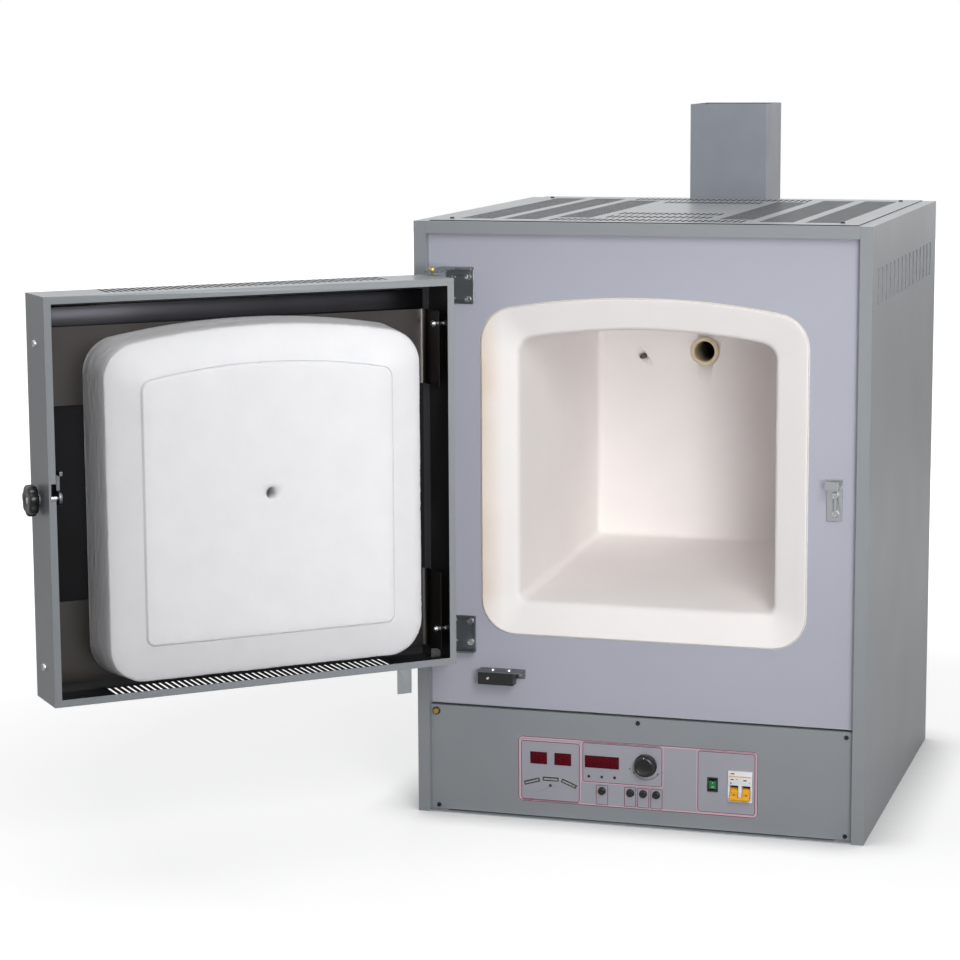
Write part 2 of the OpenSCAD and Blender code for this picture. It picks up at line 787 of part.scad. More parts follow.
module fan_frame() {
    color("#2E3032") translate([duct_x, fan_y, fan_z]) {
        difference() {
            translate([-fan_w / 2, -fan_w / 2, 0]) cube([fan_w, fan_w, fan_t]);
            translate([0, 0, -cut]) cylinder(r = fan_bore_r, h = fan_t + 2 * cut, $fn = 96);
            for (sx = [-1, 1]) for (sy = [-1, 1]) {
                translate([sx * (fan_w / 2 - 7.5), sy * (fan_w / 2 - 7.5), -cut])
                    cylinder(r = 2.2, h = fan_t + 2 * cut, $fn = 24);
            }
        }
        for (a = [45:90:315]) rotate([0, 0, a]) translate([15, -3, 0]) cube([fan_bore_r - 14, 6, 5]);
        cylinder(r = fan_hub_r, h = 9);
        cylinder(r = fan_shaft_r, h = 30, $fn = 24);
    }
}

module fan_impeller() {
    blade_l = fan_bore_r - fan_tip_gap;
    color("#3A3C3E") translate([duct_x, fan_y, fan_z + 10]) difference() {
        union() {
            cylinder(r = fan_hub_r, h = 24);
            intersection() {
                cylinder(r = blade_l, h = 24, $fn = 96);
                for (i = [0:fan_blades - 1]) rotate([0, 0, i * 360 / fan_blades])
                    translate([fan_hub_r - 3, 0, 12]) rotate([50, 0, 0])
                        translate([0, -1, -13]) cube([blade_l, 2, 26]);
            }
        }
        translate([0, 0, -cut]) cylinder(r = fan_shaft_r + run_gap, h = 24, $fn = 24);
    }
}

// Hinges, strike plate and their screws

// Screw places on the hinge plates: x, z and hole radius
function hinge_holes() = concat(
    [for (z = [upper_plate_z[1] - 15, upper_plate_z[1] - 47]) [plate_x0 + 33, z, big_screw[2]]],
    [for (z = [lower_plate_z[1] - 8, lower_plate_z[1] - 39]) [plate_x0 + 34.5, z, big_screw[2]]],
    [for (z = [upper_plate_z[1] - 15, upper_plate_z[1] - 47]) [plate_x0 + 11, z, small_screw[2]]],
    [for (z = [lower_plate_z[1] - 8, lower_plate_z[1] - 39]) [plate_x0 + 11, z, small_screw[2]]]);

function strike_holes() = [for (z = [strike_z1 - 11, strike_z1 - 37]) [strike_x0 + 12, z, big_screw[2]]];

function interlock_fix_x() = [switch_x0 + 10, switch_x0 + bracket_w - 8];

module hinge_bracket(z, tongue_z) {
    tongue = [tongue_z, tongue_z + tongue_t];
    difference() {
        union() {
            span([plate_x0, plate_x0 + hinge_plate_w], [plate_y, panel_y], z);
            span([plate_x0 - 8, plate_x0 + 16], [pin_y - 9, panel_y], tongue);
            span([plate_x0, plate_x0 + hinge_plate_w], [plate_y - 14, plate_y], tongue);
        }
        for (p = hinge_holes()) rod_y([p[0], plate_y - cut, p[1]], p[2], plate_t + 2 * cut, $fn = 24);
        rod_z([pin_x, pin_y, tongue_z - cut], pin_r, tongue_t + 2 * cut, $fn = 32);
    }
}

module upper_hinge_bracket() { color("#60666A") hinge_bracket(upper_plate_z, upper_plate_z[1] - tongue_t); }

module lower_hinge_bracket() { color("#60666A") hinge_bracket(lower_plate_z, lower_plate_z[0]); }

module hinge_pins() {
    top = upper_plate_z[1];
    low = lower_plate_z[0];
    color("#C8A850") {
        rod_z([pin_x, pin_y, door_z1 - boss_h], pin_r - touch, top - door_z1 + boss_h, $fn = 32);
        rod_z([pin_x, pin_y, top], pin_head_r, pin_head_t, $fn = 32);
        rod_z([pin_x, pin_y, low], pin_r - touch, door_z0 - low + boss_h, $fn = 32);
        rod_z([pin_x, pin_y, low + tongue_t], pin_head_r, tongue_gap - fit_gap, $fn = 32);
        rod_z([pin_x, pin_y, low - pin_head_t], pin_head_r, pin_head_t, $fn = 32);
    }
}

module bracket_screws() {
    color("#D0D2D4") {
        for (p = concat(hinge_holes(), strike_holes())) {
            size = p[2] == big_screw[2] ? big_screw : small_screw;
            screw_back([p[0], plate_y, p[1]], size, plate_t + sheet_t);
        }
        for (x = interlock_fix_x()) screw_back([x, panel_y - 2, bracket_z - 6], small_screw, 2 + sheet_t);
        for (x = switch_fix_x()) screw_down([x, switch_y0 + 10, bracket_z + 2], small_screw, screw_l);
    }
}

function switch_fix_x() = [switch_x0 + 20, switch_x0 + 45];

module strike_plate() {
    x = [strike_x0 + 1.5, strike_x0 + strike_w - 2];
    color("#60666A") difference() {
        union() {
            span([strike_x0, strike_x0 + strike_w], [plate_y, panel_y], [strike_z0, strike_z1 + tongue_lip]);
            span(x, [plate_y - tongue_out, plate_y], [strike_z1, strike_z1 + 2]);
            span(x, [plate_y - tongue_out, plate_y - tongue_out + 2], [strike_z1, strike_z1 + tongue_lip]);
        }
        for (p = strike_holes()) rod_y([p[0], plate_y - cut, p[1]], p[2], plate_t + 2 * cut, $fn = 24);
    }
}

// Door interlock

module interlock_bracket() {
    x = [switch_x0 - 2, switch_x0 + bracket_w];
    color("#9A9EA0") difference() {
        union() {
            span(x, [switch_y0, panel_y], [bracket_z, bracket_z + 2]);
            span(x, [panel_y - 2, panel_y], [bracket_z - 12, bracket_z + 2]);
        }
        for (x = interlock_fix_x()) rod_y([x, panel_y - 3, bracket_z - 6], small_screw[2], 4, $fn = 24);
        for (x = switch_fix_x()) rod_z([x, switch_y0 + 10, bracket_z - cut], small_screw[2], 4, $fn = 24);
    }
}

module interlock_switch() {
    color("#1C1D20") difference() {
        span([switch_x0, switch_x0 + switch_w], [switch_y0, panel_y - 8], [switch_z0, bracket_z]);
        rod_y([plunger_x, switch_y0 - cut, plunger_z], plunger_r + run_gap, 12 + cut, $fn = 24);
        for (x = switch_fix_x()) rod_z([x, switch_y0 + 10, bracket_z - 8], small_screw[2], 8 + cut, $fn = 24);
    }
}

module interlock_plunger() {
    // Its tip stays just clear of the tab of the closed door
    tip = switch_y0 - plunger_travel - 0.6;
    tail = switch_y0 + 12 - plunger_travel - 0.5;
    color("#C9C4B4") rod_y([plunger_x, tip, plunger_z], plunger_r, tail - tip, $fn = 24);
}

module interlock_tab() {
    x0 = plunger_x - 9;
    back = switch_y0 - plunger_travel - 0.6 - 0.4;
    color("#C4C8CA") door_pose() {
        span([x0, x0 + tab_w], [back - tab_t, back], [switch_z0 + 9, door_z0 - touch]);
        span([x0, x0 + tab_w], [back - 16, back], [door_z0 - tab_t - touch, door_z0 - touch]);
    }
}

module ground_terminal() {
    p = [xl + ground_at[0], control_y, ground_at[1]];
    color("#B08D3C") {
        rod_y(p - [0, 5, 0], 5, 5, $fn = 24);
        rod_y(p - [0, 1.2, 0], 6.2, 1.2);
        rod_y(p, 3 - touch, 14, $fn = 24);
    }
}

module casing_screws() {
    color("#3C4042") {
        for (p = cover_screws) screw_down([xl + p[0], yf + p[1], cover_z], small_screw, screw_l);
        for (p = control_screws) screw_back([xl + p[0], control_y, p[1]], small_screw, screw_l);
        for (p = rear_screws) screw_fore([xl + p[0], yb, p[1]], small_screw, screw_l);
    }
}

// Control panel parts

module lens(p, size, y0) {
    span([p[0] - size[0] / 2, p[0] + size[0] / 2], [y0, board_y], [p[1] - size[1] / 2, p[1] + size[1] / 2]);
}

module small_displays() { color("#6A0014") on_panel() for (p = small_at) lens(p, small_display, 0); }

module main_display() { color("#6A0014") on_panel() lens(main_at, main_size, 0); }

module indicator_leds() {
    color("#C8CCC8") on_panel() {
        for (p = led_bars_at) translate([p[0], 0, p[1]]) rotate([0, -p[2], 0]) lens([0, 0], led_bar, -1);
        for (p = leds_at) rod_y([p[0], -1.5, p[1]], led_r, board_y + 1.5, $fn = 24);
    }
}

module button_switches() {
    color("#1C1D20") on_panel() for (p = button_at) lens(p, [12, 12], board_y - 4);
}

module push_button(i) {
    p = button_at[i];
    color("#202124") on_panel() {
        rod_y([p[0], -4, p[1]], button_d / 2, 7, $fn = 32);
        rod_y([p[0], 3, p[1]], 2.5, board_y - 4 - button_travel - fit_gap - 3, $fn = 24);
    }
}

module mode_button() { push_button(0); }

module up_button() { push_button(1); }

module down_button() { push_button(2); }

module run_button() { push_button(3); }

module encoder() {
    p = knob_at;
    color("#8A8C8E") on_panel() difference() {
        union() {
            lens(p, [13, 13], board_y - 6);
            rod_y([p[0], 2, p[1]], knob_shaft_r + 1.2, board_y - 8, $fn = 32);
        }
        rod_y([p[0], 1, p[1]], knob_shaft_r + run_gap, board_y - 4, $fn = 32);
    }
}

module setting_knob() {
    // A knurled knob with a skirt, on the encoder's shaft
    color("#18181A") on_panel() translate([knob_at[0], 0, knob_at[1]]) rotate([90, 0, 0]) {
        translate([0, 0, 1.6]) cylinder(r1 = knob_d / 2, r2 = knob_d / 2 - 1.5, h = 4);
        difference() {
            translate([0, 0, 5.6]) cylinder(r1 = knob_d / 2 - 4, r2 = knob_d / 2 - 5.5, h = knob_out - 5.6);
            for (a = [0:30:330]) rotate([0, 0, a])
                translate([knob_d / 2 - 2.6, 0, 5.6]) cylinder(r = 2.2, h = knob_out, $fn = 16);
        }
        translate([0, 0, -8]) cylinder(r = knob_shaft_r, h = 10, $fn = 32);
    }
}

module rocker_frame() {
    w = rocker_size[0];
    h = rocker_size[1];
    color("#16201A") on_panel() translate([rocker_at[0], 0, rocker_at[1]]) difference() {
        union() {
            span([-w / 2, w / 2], [-overlay_t - 1.8, -overlay_t], [-h / 2, h / 2]);
            span([1 - w / 2, w / 2 - 1] + [touch, -touch], [-overlay_t, 22],
                [1 - h / 2, h / 2 - 1] + [touch, -touch]);
        }
        span([2.2 - w / 2, w / 2 - 2.2], [-5, 16], [2.2 - h / 2, h / 2 - 2.2]);
        rod_x([-w / 2 + 1, 4, 0], 1.2, w - 2, $fn = 24);
    }
}

module fan_rocker() {
    // Its lower half stands out at rest
    w = rocker_size[0] / 2 - 2.2 - fit_gap;
    h = rocker_size[1] / 2 - 2.2 - 1.2;
    color("#1E6A3C") on_panel() translate([rocker_at[0], 4, rocker_at[1]]) {
        translate([-w, 0, 0]) rotate([90, 0, 90]) rotate([0, 0, 10]) linear_extrude(2 * w)
            polygon([[4, -4], [4, 4], [-4.6, h], [-6.4, h - 0.6], [-5.4, 0], [-6.4, 0.6 - h], [-4.6, -h]]);
        rod_x([-w - 1.1, 0, 0], 1.1, 2 * w + 2.2, $fn = 24);
    }
}

module breaker_body() {
    w = breaker_size[0];
    h = breaker_size[1];
    color("#E8E8EA") on_panel() translate([breaker_at[0], 0, breaker_at[1]]) difference() {
        union() {
            span([-w / 2, w / 2], [-4, 16], [-h / 2, h / 2]);
            span([-w / 2, w / 2], [15, breaker_deep], [-breaker_h / 2, breaker_h / 2]);
        }
        for (x = [-w / 4, w / 4]) span([x - 4, x + 4], [-5, 18], [-h / 2 + 3, h / 2 - 22]);
        rod_x([-w / 2 + 3, toggle_y, toggle_z], 1.6, w - 6, $fn = 24);
        span([-w / 2 + 3, w / 2 - 3], [breaker_deep - 7.5, breaker_deep + 1], [-17.8, 17.8]);
    }
}

module breaker_toggle() {
    // Two levers on one pin, tied by a bar, down when the breaker is off
    w = breaker_size[0];
    at = [breaker_at[0], toggle_y, breaker_at[1] + toggle_z];
    color("#F0B41A") on_panel() translate(at) rotate([32, 0, 0]) {
        for (x = [-w / 4, w / 4]) {
            rod_x([x - 3.6, 0, 0], 6.2, 7.2, $fn = 32);
            span([x - 3.6, x + 3.6], [-18, 0], [-2.2, 2.2]);
        }
        span([-w / 4, w / 4], [-17, -13], [-1.6, 1.6]);
        rod_x([-w / 2 + 3.2, 0, 0], 1.5, w - 6.4, $fn = 24);
    }
}

module controller_board() {
    color("#1E5A38") on_panel() {
        difference() {
            span(board_x, [board_y, board_y + board_thick], board_z);
            for (p = board_posts()) rod_y([p[0], board_y - cut, p[1]], 1.6, 5, $fn = 24);
        }
        for (p = board_posts()) rod_y([p[0], sheet_t, p[1]], 3, board_y - sheet_t, $fn = 24);
        span(socket[0], [board_y + board_thick, board_y + board_thick + socket[1]], socket[2]);
    }
}

// Places of the four posts that carry the board
function board_posts() = [for (x = board_x + [board_post_in, -board_post_in])
    for (z = board_z + [board_post_in, -board_post_in]) [x, z]];

module heat_sink() {
    // Finned aluminium on the compartment's floor
    color("#A8ACB0") {
        span(sink_x, sink_y, [sheet_t + touch, 10]);
        for (i = [0:fin_n - 1]) {
            x = sink_x[0] + i * fin_pitch;
            span([x, x + fin_t], sink_y, [9.5, sink_z[0]]);
        }
        span(sink_x, sink_y, sink_z);
    }
}

module solid_state_relay() {
    color("#E4E0D4") {
        span(relay[0], relay[1], [sink_z[1], sink_z[1] + relay[2]]);
        for (x = relay[0] + [8, -8]) for (y = relay[1] + [6, -6]) {
            rod_z([x, y, sink_z[1] + relay[2]], 4, 3, $fn = 24);
        }
    }
}

module terminal_block() {
    color("#D8D8D2") {
        span([block_x, block_x + 110], [120, 152], [sheet_t + touch, 30]);
        for (i = [0:block_n - 1]) {
            x = block_x + i * block_pitch;
            span([x, x + 3], [116, 156], [sheet_t + touch, 40]);
        }
    }
}

module cable_gland() {
    color("#2A2C2E") difference() {
        union() {
            rod_y([gland_at[0], yb + touch, gland_at[1]], 14, 8, $fn = 24);
            rod_y([gland_at[0], yb + 8, gland_at[1]], 12, 20);
            rod_y([gland_at[0], yb - 12, gland_at[1]], 10 - touch, 20);
            rod_y([gland_at[0], yb - sheet_t - 6, gland_at[1]], 14, 6 - touch);
        }
        rod_y([gland_at[0], yb - 14, gland_at[1]], gland_bore_r, 46);
    }
}

// Door

// Swings a child, drawn as on the closed door, to where the door stands
module door_pose() {
    translate([pin_x, pin_y, 0]) rotate([0, 0, -door_open]) translate([-pin_x, -pin_y, 0]) children();
}

module door_slots(z) {
    for (i = [0:door_slots_n - 1]) {
        x = door_x0 + door_slots_x + i * slot_pitch;
        if (x + slot_w < door_x1 - 60) {
            span([x, x + slot_w], [slot_y0, slot_y1], [z - cut, z + sheet_t + cut]);
        }
    }
}

module door_shell() {
    x = [door_x0, door_x1];
    z = [door_z0, door_z1];
    inside = [sheet_t, -sheet_t];
    lip = [lip_w, -lip_w];
    color("#8F9AA0") door_pose() difference() {
        union() {
            difference() {
                span(x, [face_y, rim_y], z);
                span(x + inside, [face_y + sheet_t, rim_y - sheet_t], z + inside);
                span(x + lip, [rim_y - 2 * sheet_t, rim_y + cut], z + lip);
            }
            for (bz = [door_z0 + sheet_t / 2, door_z1 - boss_h]) {
                span([door_x0 + sheet_t / 2, door_x0 + 16], [face_y + sheet_t / 2, pin_y + 12],
                    [bz, bz + boss_h - sheet_t / 2]);
            }
            rod_x([door_x1 - 10, latch_y, latch_z], boss_r, 10 + boss_out);
        }
        door_slots(door_z0);
        door_slots(door_z1 - sheet_t);
        rod_z([pin_x, pin_y, door_z0 - cut], pin_r - touch + run_gap, boss_h + 2 * cut, $fn = 32);
        rod_z([pin_x, pin_y, door_z1 - boss_h - cut], pin_r - touch + run_gap, boss_h + 2 * cut, $fn = 32);
        rod_x([door_x1 - 11, latch_y, latch_z], spindle_r + run_gap, 14);
        rod_y([peep_x, face_y - cut, peep_z], peep_r + 1 + touch, sheet_t + 2 * cut);
        rod_y([peep_x, face_y - cut, peep_z + cover_up], small_screw[2], sheet_t + 2 * cut, $fn = 24);
        for (p = strip_screws()) {
            rod_x([door_x1 - cut - sheet_t, strip_screw_y, p], big_screw[2], 2 * cut + sheet_t, $fn = 24);
            rod_x([door_x0 - cut, hinge_screw_y, p], big_screw[2], 2 * cut + sheet_t, $fn = 24);
        }
        span([door_x1 - lip_w - cut, door_x1 - sheet_t - 2], [rim_y - sheet_t - touch, rim_y + cut],
            [latch_z + 4, latch_z + 27]);
    }
}

function strip_screws() = [strip_low[1] - 83.5, strip_high[1] - 18];

module door_liner() {
    foot = arch_outline(liner_x, liner_w + 2 * liner_flare, liner_z0 - liner_flare + 4,
        liner_z1 + liner_flare - 3, collar_rise, collar_r, collar_r);
    front = arch_outline(liner_x, liner_w, liner_z0, liner_z1, collar_rise, collar_r, collar_r);
    plug = arch_outline(plug_x, plug_w, plug_z0, plug_z1, mouth_rise, plug_r, mouth_low_r);
    color("#F0F0F2") door_pose() difference() {
        loft([liner_back, liner_front, mouth_y], [foot, front, plug]);
        rod_y([peep_x, liner_back - cut, peep_z], peep_r, mouth_y - liner_back + 2 * cut);
    }
}

module door_backing_board() {
    color("#262626") door_pose() difference() {
        span([door_x0 + 17, door_x1 - 16], [face_y + sheet_t + touch, face_y + sheet_t + touch + board_t],
            [door_z0 + 20, door_z1 - 20]);
        rod_y([peep_x, face_y, peep_z], peep_r + 1 + touch, 2 * board_t);
        rod_y([peep_x, face_y, peep_z + cover_up], small_screw[2] + 1, 10, $fn = 24);
    }
}

module liner_strips() {
    // Bent stainless brackets that hold the liner, screwed to the pan's sides
    y0 = liner_back - touch - strip_t;
    for (z = [strip_low, strip_high]) {
        color("#8A8A88") door_pose() difference() {
            union() {
                span([strip_x0, strip_x1], [y0, y0 + strip_t], z);
                span([strip_x0, strip_x0 + strip_t], [y0, strip_lip_y], z);
                span([strip_x1 - strip_t, strip_x1], [y0, strip_lip_y - 20], z);
            }
            for (p = strip_screws()) {
                rod_x([strip_x1 - 3, strip_screw_y, p], big_screw[2], 3 + cut, $fn = 24);
                rod_x([strip_x0 - 2, hinge_screw_y, p], big_screw[2], 5, $fn = 24);
            }
        }
    }
}

module door_screws() {
    color("#B8BABC") door_pose() {
        for (p = strip_screws()) {
            screw_left([door_x1, strip_screw_y, p], big_screw, strip_screw_l);
            rod_x([strip_x1 - strip_t - touch - nut_t, strip_screw_y, p], nut_r, nut_t, $fn = 24);
            rod_x([door_x0 - 1.6, hinge_screw_y, p], big_screw[2] - touch, hinge_rod_l, $fn = 24);
            rod_x([strip_x0 + strip_t + touch, hinge_screw_y, p], nut_r, nut_t, $fn = 24);
            rod_x([door_x0 + sheet_t + touch, hinge_screw_y, p], nut_r, nut_t, $fn = 24);
        }
    }
}

module peephole_tube() {
    l = liner_back - face_y + 1 - touch;
    color("#B0B2B0") door_pose() rod_pipe([peep_x, face_y - 1, peep_z], peep_r + 1, peep_r, l);
}

module peephole_cover() {
    // A disc that hangs from its pivot screw in front of the peephole
    y0 = face_y - 1 - fit_gap - cover_t;
    top = peep_z + cover_up;
    color("#6E7476") door_pose() {
        rod_y([peep_x, y0, peep_z], cover_r, cover_t);
        span([peep_x - 8, peep_x + 8], [y0, y0 + cover_t], [peep_z, top]);
        rod_y([peep_x, y0, top], 8, cover_t);
        rod_y([peep_x, y0 - 8, peep_z - 10], 3, 8.5, $fn = 24);
        rod_y([peep_x, y0 - 12, peep_z - 10], 6, 5, $fn = 24);
        rod_y([peep_x, y0, top], small_screw[2] - run_gap, cover_t + 10, $fn = 24);
        rod_y([peep_x, y0 - 2, top], 4.5, 2.5, $fn = 24);
    }
}

module latch_knob() {
    // Seven soft lobes around a hub, on the latch spindle
    r = latch_knob_d / 2;
    color("#141416") door_pose() translate([door_x1, latch_y, latch_z]) rotate([0, 90, 0]) {
        translate([0, 0, knob_off]) {
            cylinder(r = r - 4.5, h = knob_t);
            for (i = [0:6]) rotate([0, 0, i * 360 / 7]) {
                translate([r - 6.5, 0, 0]) cylinder(r = 6.5, h = knob_t, $fn = 32);
            }
        }
        translate([0, 0, boss_out + fit_gap]) cylinder(r = 8.5, h = knob_off);
        translate([0, 0, cam_x0 - door_x1]) cylinder(r = spindle_r, h = 36, $fn = 32);
    }
}

module latch_cam() {
    // A hook that reaches over the strike plate's lip, shown turned up and away
    color("#A0A4A8") door_pose() translate([cam_x0, latch_y, latch_z]) rotate([90, 0, 0]) difference() {
        union() {
            rod_x([0, 0, 0], 10, cam_t);
            span([0, cam_t], [0, cam_reach], [3, 10]);
            span([0, cam_t], [hook_in, cam_reach], [-12, 10]);
        }
        rod_x([-cut, 0, 0], spindle_r, cam_t + 2 * cut, $fn = 32);
    }
}

left_side_panel();
right_side_panel();
front_top_rail();
top_cover();
rear_panel();
base_plate();
partition_deck();
front_panel();
control_panel();
panel_overlay();
muffle();
insulation_block();
inner_casing();
chamber_supports();
heating_elements();
heater_terminals();
thermocouple();
vent_tube();
exhaust_duct();
fan_frame();
fan_impeller();
upper_hinge_bracket();
lower_hinge_bracket();
hinge_pins();
bracket_screws();
strike_plate();
interlock_bracket();
interlock_switch();
interlock_plunger();
ground_terminal();
casing_screws();
small_displays();
main_display();
indicator_leds();
button_switches();
mode_button();
up_button();
down_button();
run_button();
encoder();
setting_knob();
rocker_frame();
fan_rocker();
breaker_body();
breaker_toggle();
controller_board();
heat_sink();
solid_state_relay();
terminal_block();
cable_gland();
door_shell();
door_liner();
door_backing_board();
liner_strips();
door_screws();
interlock_tab();
peephole_tube();
peephole_cover();
latch_knob();
latch_cam();
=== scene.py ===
import json
import math

import bmesh
import bpy
from mathutils import Matrix, Vector, noise


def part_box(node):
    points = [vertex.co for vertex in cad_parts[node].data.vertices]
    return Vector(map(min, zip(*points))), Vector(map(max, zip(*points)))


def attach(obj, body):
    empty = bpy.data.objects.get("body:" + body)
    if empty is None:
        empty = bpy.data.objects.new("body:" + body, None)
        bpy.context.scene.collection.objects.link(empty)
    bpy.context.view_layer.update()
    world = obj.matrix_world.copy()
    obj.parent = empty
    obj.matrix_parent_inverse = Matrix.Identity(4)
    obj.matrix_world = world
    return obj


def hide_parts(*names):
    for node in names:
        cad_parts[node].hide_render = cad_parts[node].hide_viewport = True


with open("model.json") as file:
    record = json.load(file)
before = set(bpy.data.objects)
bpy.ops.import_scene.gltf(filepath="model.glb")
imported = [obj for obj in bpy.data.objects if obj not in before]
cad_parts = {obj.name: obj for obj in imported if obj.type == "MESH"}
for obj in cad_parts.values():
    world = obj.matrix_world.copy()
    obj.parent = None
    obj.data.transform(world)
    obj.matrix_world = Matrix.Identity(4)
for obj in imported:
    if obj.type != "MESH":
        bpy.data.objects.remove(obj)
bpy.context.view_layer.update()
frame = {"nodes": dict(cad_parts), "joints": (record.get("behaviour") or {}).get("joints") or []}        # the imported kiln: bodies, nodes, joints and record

# Shapes are drawn in millimetres and made in metres. What rides on the door is drawn on the
# closed door and then turned with it to where it stands open.
MM = 0.001
SOFT_ANGLE = math.radians(32)
joints = {joint["name"]: joint for joint in frame["joints"]}
hinge = Vector(joints["door_hinge"]["pos_m"]) / MM
door_turn = Matrix.Rotation(-math.radians(joints["door_hinge"]["range_deg"][1]), 4, "Z")
opened = Matrix.Translation(hinge) @ door_turn @ Matrix.Translation(-hinge)
closed = opened.inverted()


def corners(node):
    """Lowest and highest corner of a node in millimetres."""
    low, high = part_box(node)
    return low / MM, high / MM


def closed_corners(node):
    """Lowest and highest corner of a door node in millimetres, on the closed door."""
    points = [closed @ (v.co / MM) for v in frame["nodes"][node].data.vertices]
    low = Vector([min(p[i] for p in points) for i in range(3)])
    high = Vector([max(p[i] for p in points) for i in range(3)])
    return low, high


def middle(low, high):
    """Middle of a box across and upward."""
    return (low.x + high.x) / 2, (low.z + high.z) / 2


# Colours and nodes

def hue(code):
    """Linear colour from an sRGB hex value."""
    parts = [int(code[i:i + 2], 16) / 255 for i in (1, 3, 5)]
    return (*[c / 12.92 if c <= 0.04045 else ((c + 0.055) / 1.055) ** 2.4 for c in parts], 1.0)


def per_metre(size_mm):
    """Pattern scale at which one feature is that many millimetres."""
    return 1 / (size_mm * MM)


def add(tree, kind, inputs=None, **settings):
    """Adds a node with its settings. Each input is a value or the socket that feeds it."""
    node = tree.nodes.new("ShaderNode" + kind)
    for key, value in settings.items():
        setattr(node, key, value)
    for key, value in (inputs or {}).items():
        if isinstance(value, bpy.types.NodeSocket):
            tree.links.new(value, node.inputs[key])
        else:
            node.inputs[key].default_value = value
    return node


def start(name, **values):
    """A new material: its node tree, its shader and the place of each point in the object."""
    material = bpy.data.materials.new(name)
    material.use_nodes = True
    tree = material.node_tree
    shader = tree.nodes["Principled BSDF"]
    for key, value in values.items():
        shader.inputs[key.replace("_", " ")].default_value = value
    place = add(tree, "TexCoord").outputs["Object"]
    return material, tree, shader, place


def noise_of(tree, place, size_mm, detail):
    """A noise pattern with features of a real size."""
    return add(tree, "TexNoise", {"Vector": place, "Scale": per_metre(size_mm),
                                  "Detail": detail}).outputs["Fac"]


def ramp(tree, value, start_at, end_at, low=0.0, high=1.0):
    """Maps a range of a value on another one."""
    return add(tree, "MapRange", {"Value": value, "From Min": start_at, "From Max": end_at,
                                  "To Min": low, "To Max": high}).outputs["Result"]


def sums(tree, operation, first, second):
    """One step of arithmetic."""
    return add(tree, "Math", {0: first, 1: second}, operation=operation).outputs["Value"]


def tint(tree, shader, share, pale, deep):
    """Feeds the base colour with a mix of two hex colours, or of a socket and one, by a 0 to 1
    pattern."""
    first = hue(pale) if isinstance(pale, str) else pale
    mix = add(tree, "Mix", {0: share, 6: first, 7: hue(deep)}, data_type="RGBA").outputs[2]
    tree.links.new(mix, shader.inputs["Base Color"])
    return mix


def relief(tree, shader, height, depth_mm, strength=1.0):
    """Feeds the shader's normal with a height pattern of a real depth."""
    bump = add(tree, "Bump", {"Strength": strength, "Distance": depth_mm * MM, "Height": height})
    tree.links.new(bump.outputs["Normal"], shader.inputs["Normal"])


def gloss_range(tree, shader, pattern, low, high):
    """Feeds the roughness with a pattern between two values."""
    tree.links.new(ramp(tree, pattern, 0.0, 1.0, low, high), shader.inputs["Roughness"])


# Finishes

def hammered_enamel(name, pale, deep, gloss):
    # Stoved hammer finish enamel on steel: clear skin over fine dimples and slow clouds, dull
    # face on and bright at a glancing angle
    material, tree, shader, place = start(name, Coat_Weight=0.5, Coat_Roughness=0.28)
    clouds = noise_of(tree, place, 160, 3.0)
    cells = add(tree, "TexVoronoi", {"Vector": place, "Scale": per_metre(2.6), "Smoothness": 0.8},
                feature="SMOOTH_F1")
    specks = noise_of(tree, place, 1.4, 2.0)
    both = add(tree, "Mix", {0: 0.35, 2: clouds, 3: specks})
    tint(tree, shader, both.outputs[0], pale, deep)
    gloss_range(tree, shader, clouds, gloss - 0.06, gloss + 0.08)
    relief(tree, shader, cells.outputs["Distance"], 0.05, 0.35)
    return material


def galvanised_steel(name, pale, deep):
    # Zinc coated sheet: dull metal with large soft crystals, the spangle
    material, tree, shader, place = start(name, Metallic=0.85)
    spangle = add(tree, "TexVoronoi", {"Vector": place, "Scale": per_metre(11)})
    streaks = noise_of(tree, place, 60, 5.0)
    both = add(tree, "Mix", {0: 0.4, 2: streaks, 3: spangle.outputs["Distance"]})
    tint(tree, shader, both.outputs[0], pale, deep)
    gloss_range(tree, shader, spangle.outputs["Distance"], 0.36, 0.52)
    relief(tree, shader, streaks, 0.03, 0.3)
    return material


def fired_fibre_ceramic():
    # Fired vacuum formed fibre: chalky cream, with painted shade of the open door, darker and warmer, on
    # the left rim near the front
    material, tree, shader, place = start("fired_fibre_ceramic", Roughness=0.93, Specular_IOR_Level=0.2)
    clouds = noise_of(tree, place, 120, 5.0)
    body = tint(tree, shader, clouds, "#F9F5F3", "#F1ECEA")
    low = corners("muffle")[0]
    split = add(tree, "SeparateXYZ", {"Vector": place}).outputs
    # Painted shade: the left rim near the front is tinted darker and warmer where the open door shades it
    rim = ramp(tree, split["X"], low.x * MM, (low.x + 30) * MM, 1.0, 0.0)
    front = ramp(tree, split["Y"], (low.y + 10) * MM, (low.y + 60) * MM, 1.0, 0.0)
    painted_door_shade = sums(tree, "MULTIPLY", sums(tree, "MULTIPLY", rim, front), clouds)
    tint(tree, shader, painted_door_shade, body, "#C9A97E")
    skin = add(tree, "Mix", {0: 0.5, 2: noise_of(tree, place, 2.2, 5.0), 3: noise_of(tree, place, 7, 6.0)})
    relief(tree, shader, skin.outputs[0], 0.5, 0.5)
    return material


def white_fibre_board():
    # Vacuum formed alumina fibre: bright, dead matt, soft to light, with a felted nap and dents
    material, tree, shader, place = start("white_fibre_board", Roughness=0.95, Specular_IOR_Level=0.15,
                                          Subsurface_Weight=0.5, Subsurface_Scale=0.03,
                                          Subsurface_Radius=(1.0, 1.0, 1.0))
    tint(tree, shader, noise_of(tree, place, 45, 4.0), "#FAFAFC", "#F1F1F5")
    skin = add(tree, "Mix", {0: 0.45, 2: noise_of(tree, place, 9, 4.0), 3: noise_of(tree, place, 1.6, 6.0)})
    relief(tree, shader, skin.outputs[0], 0.6, 0.55)
    return material


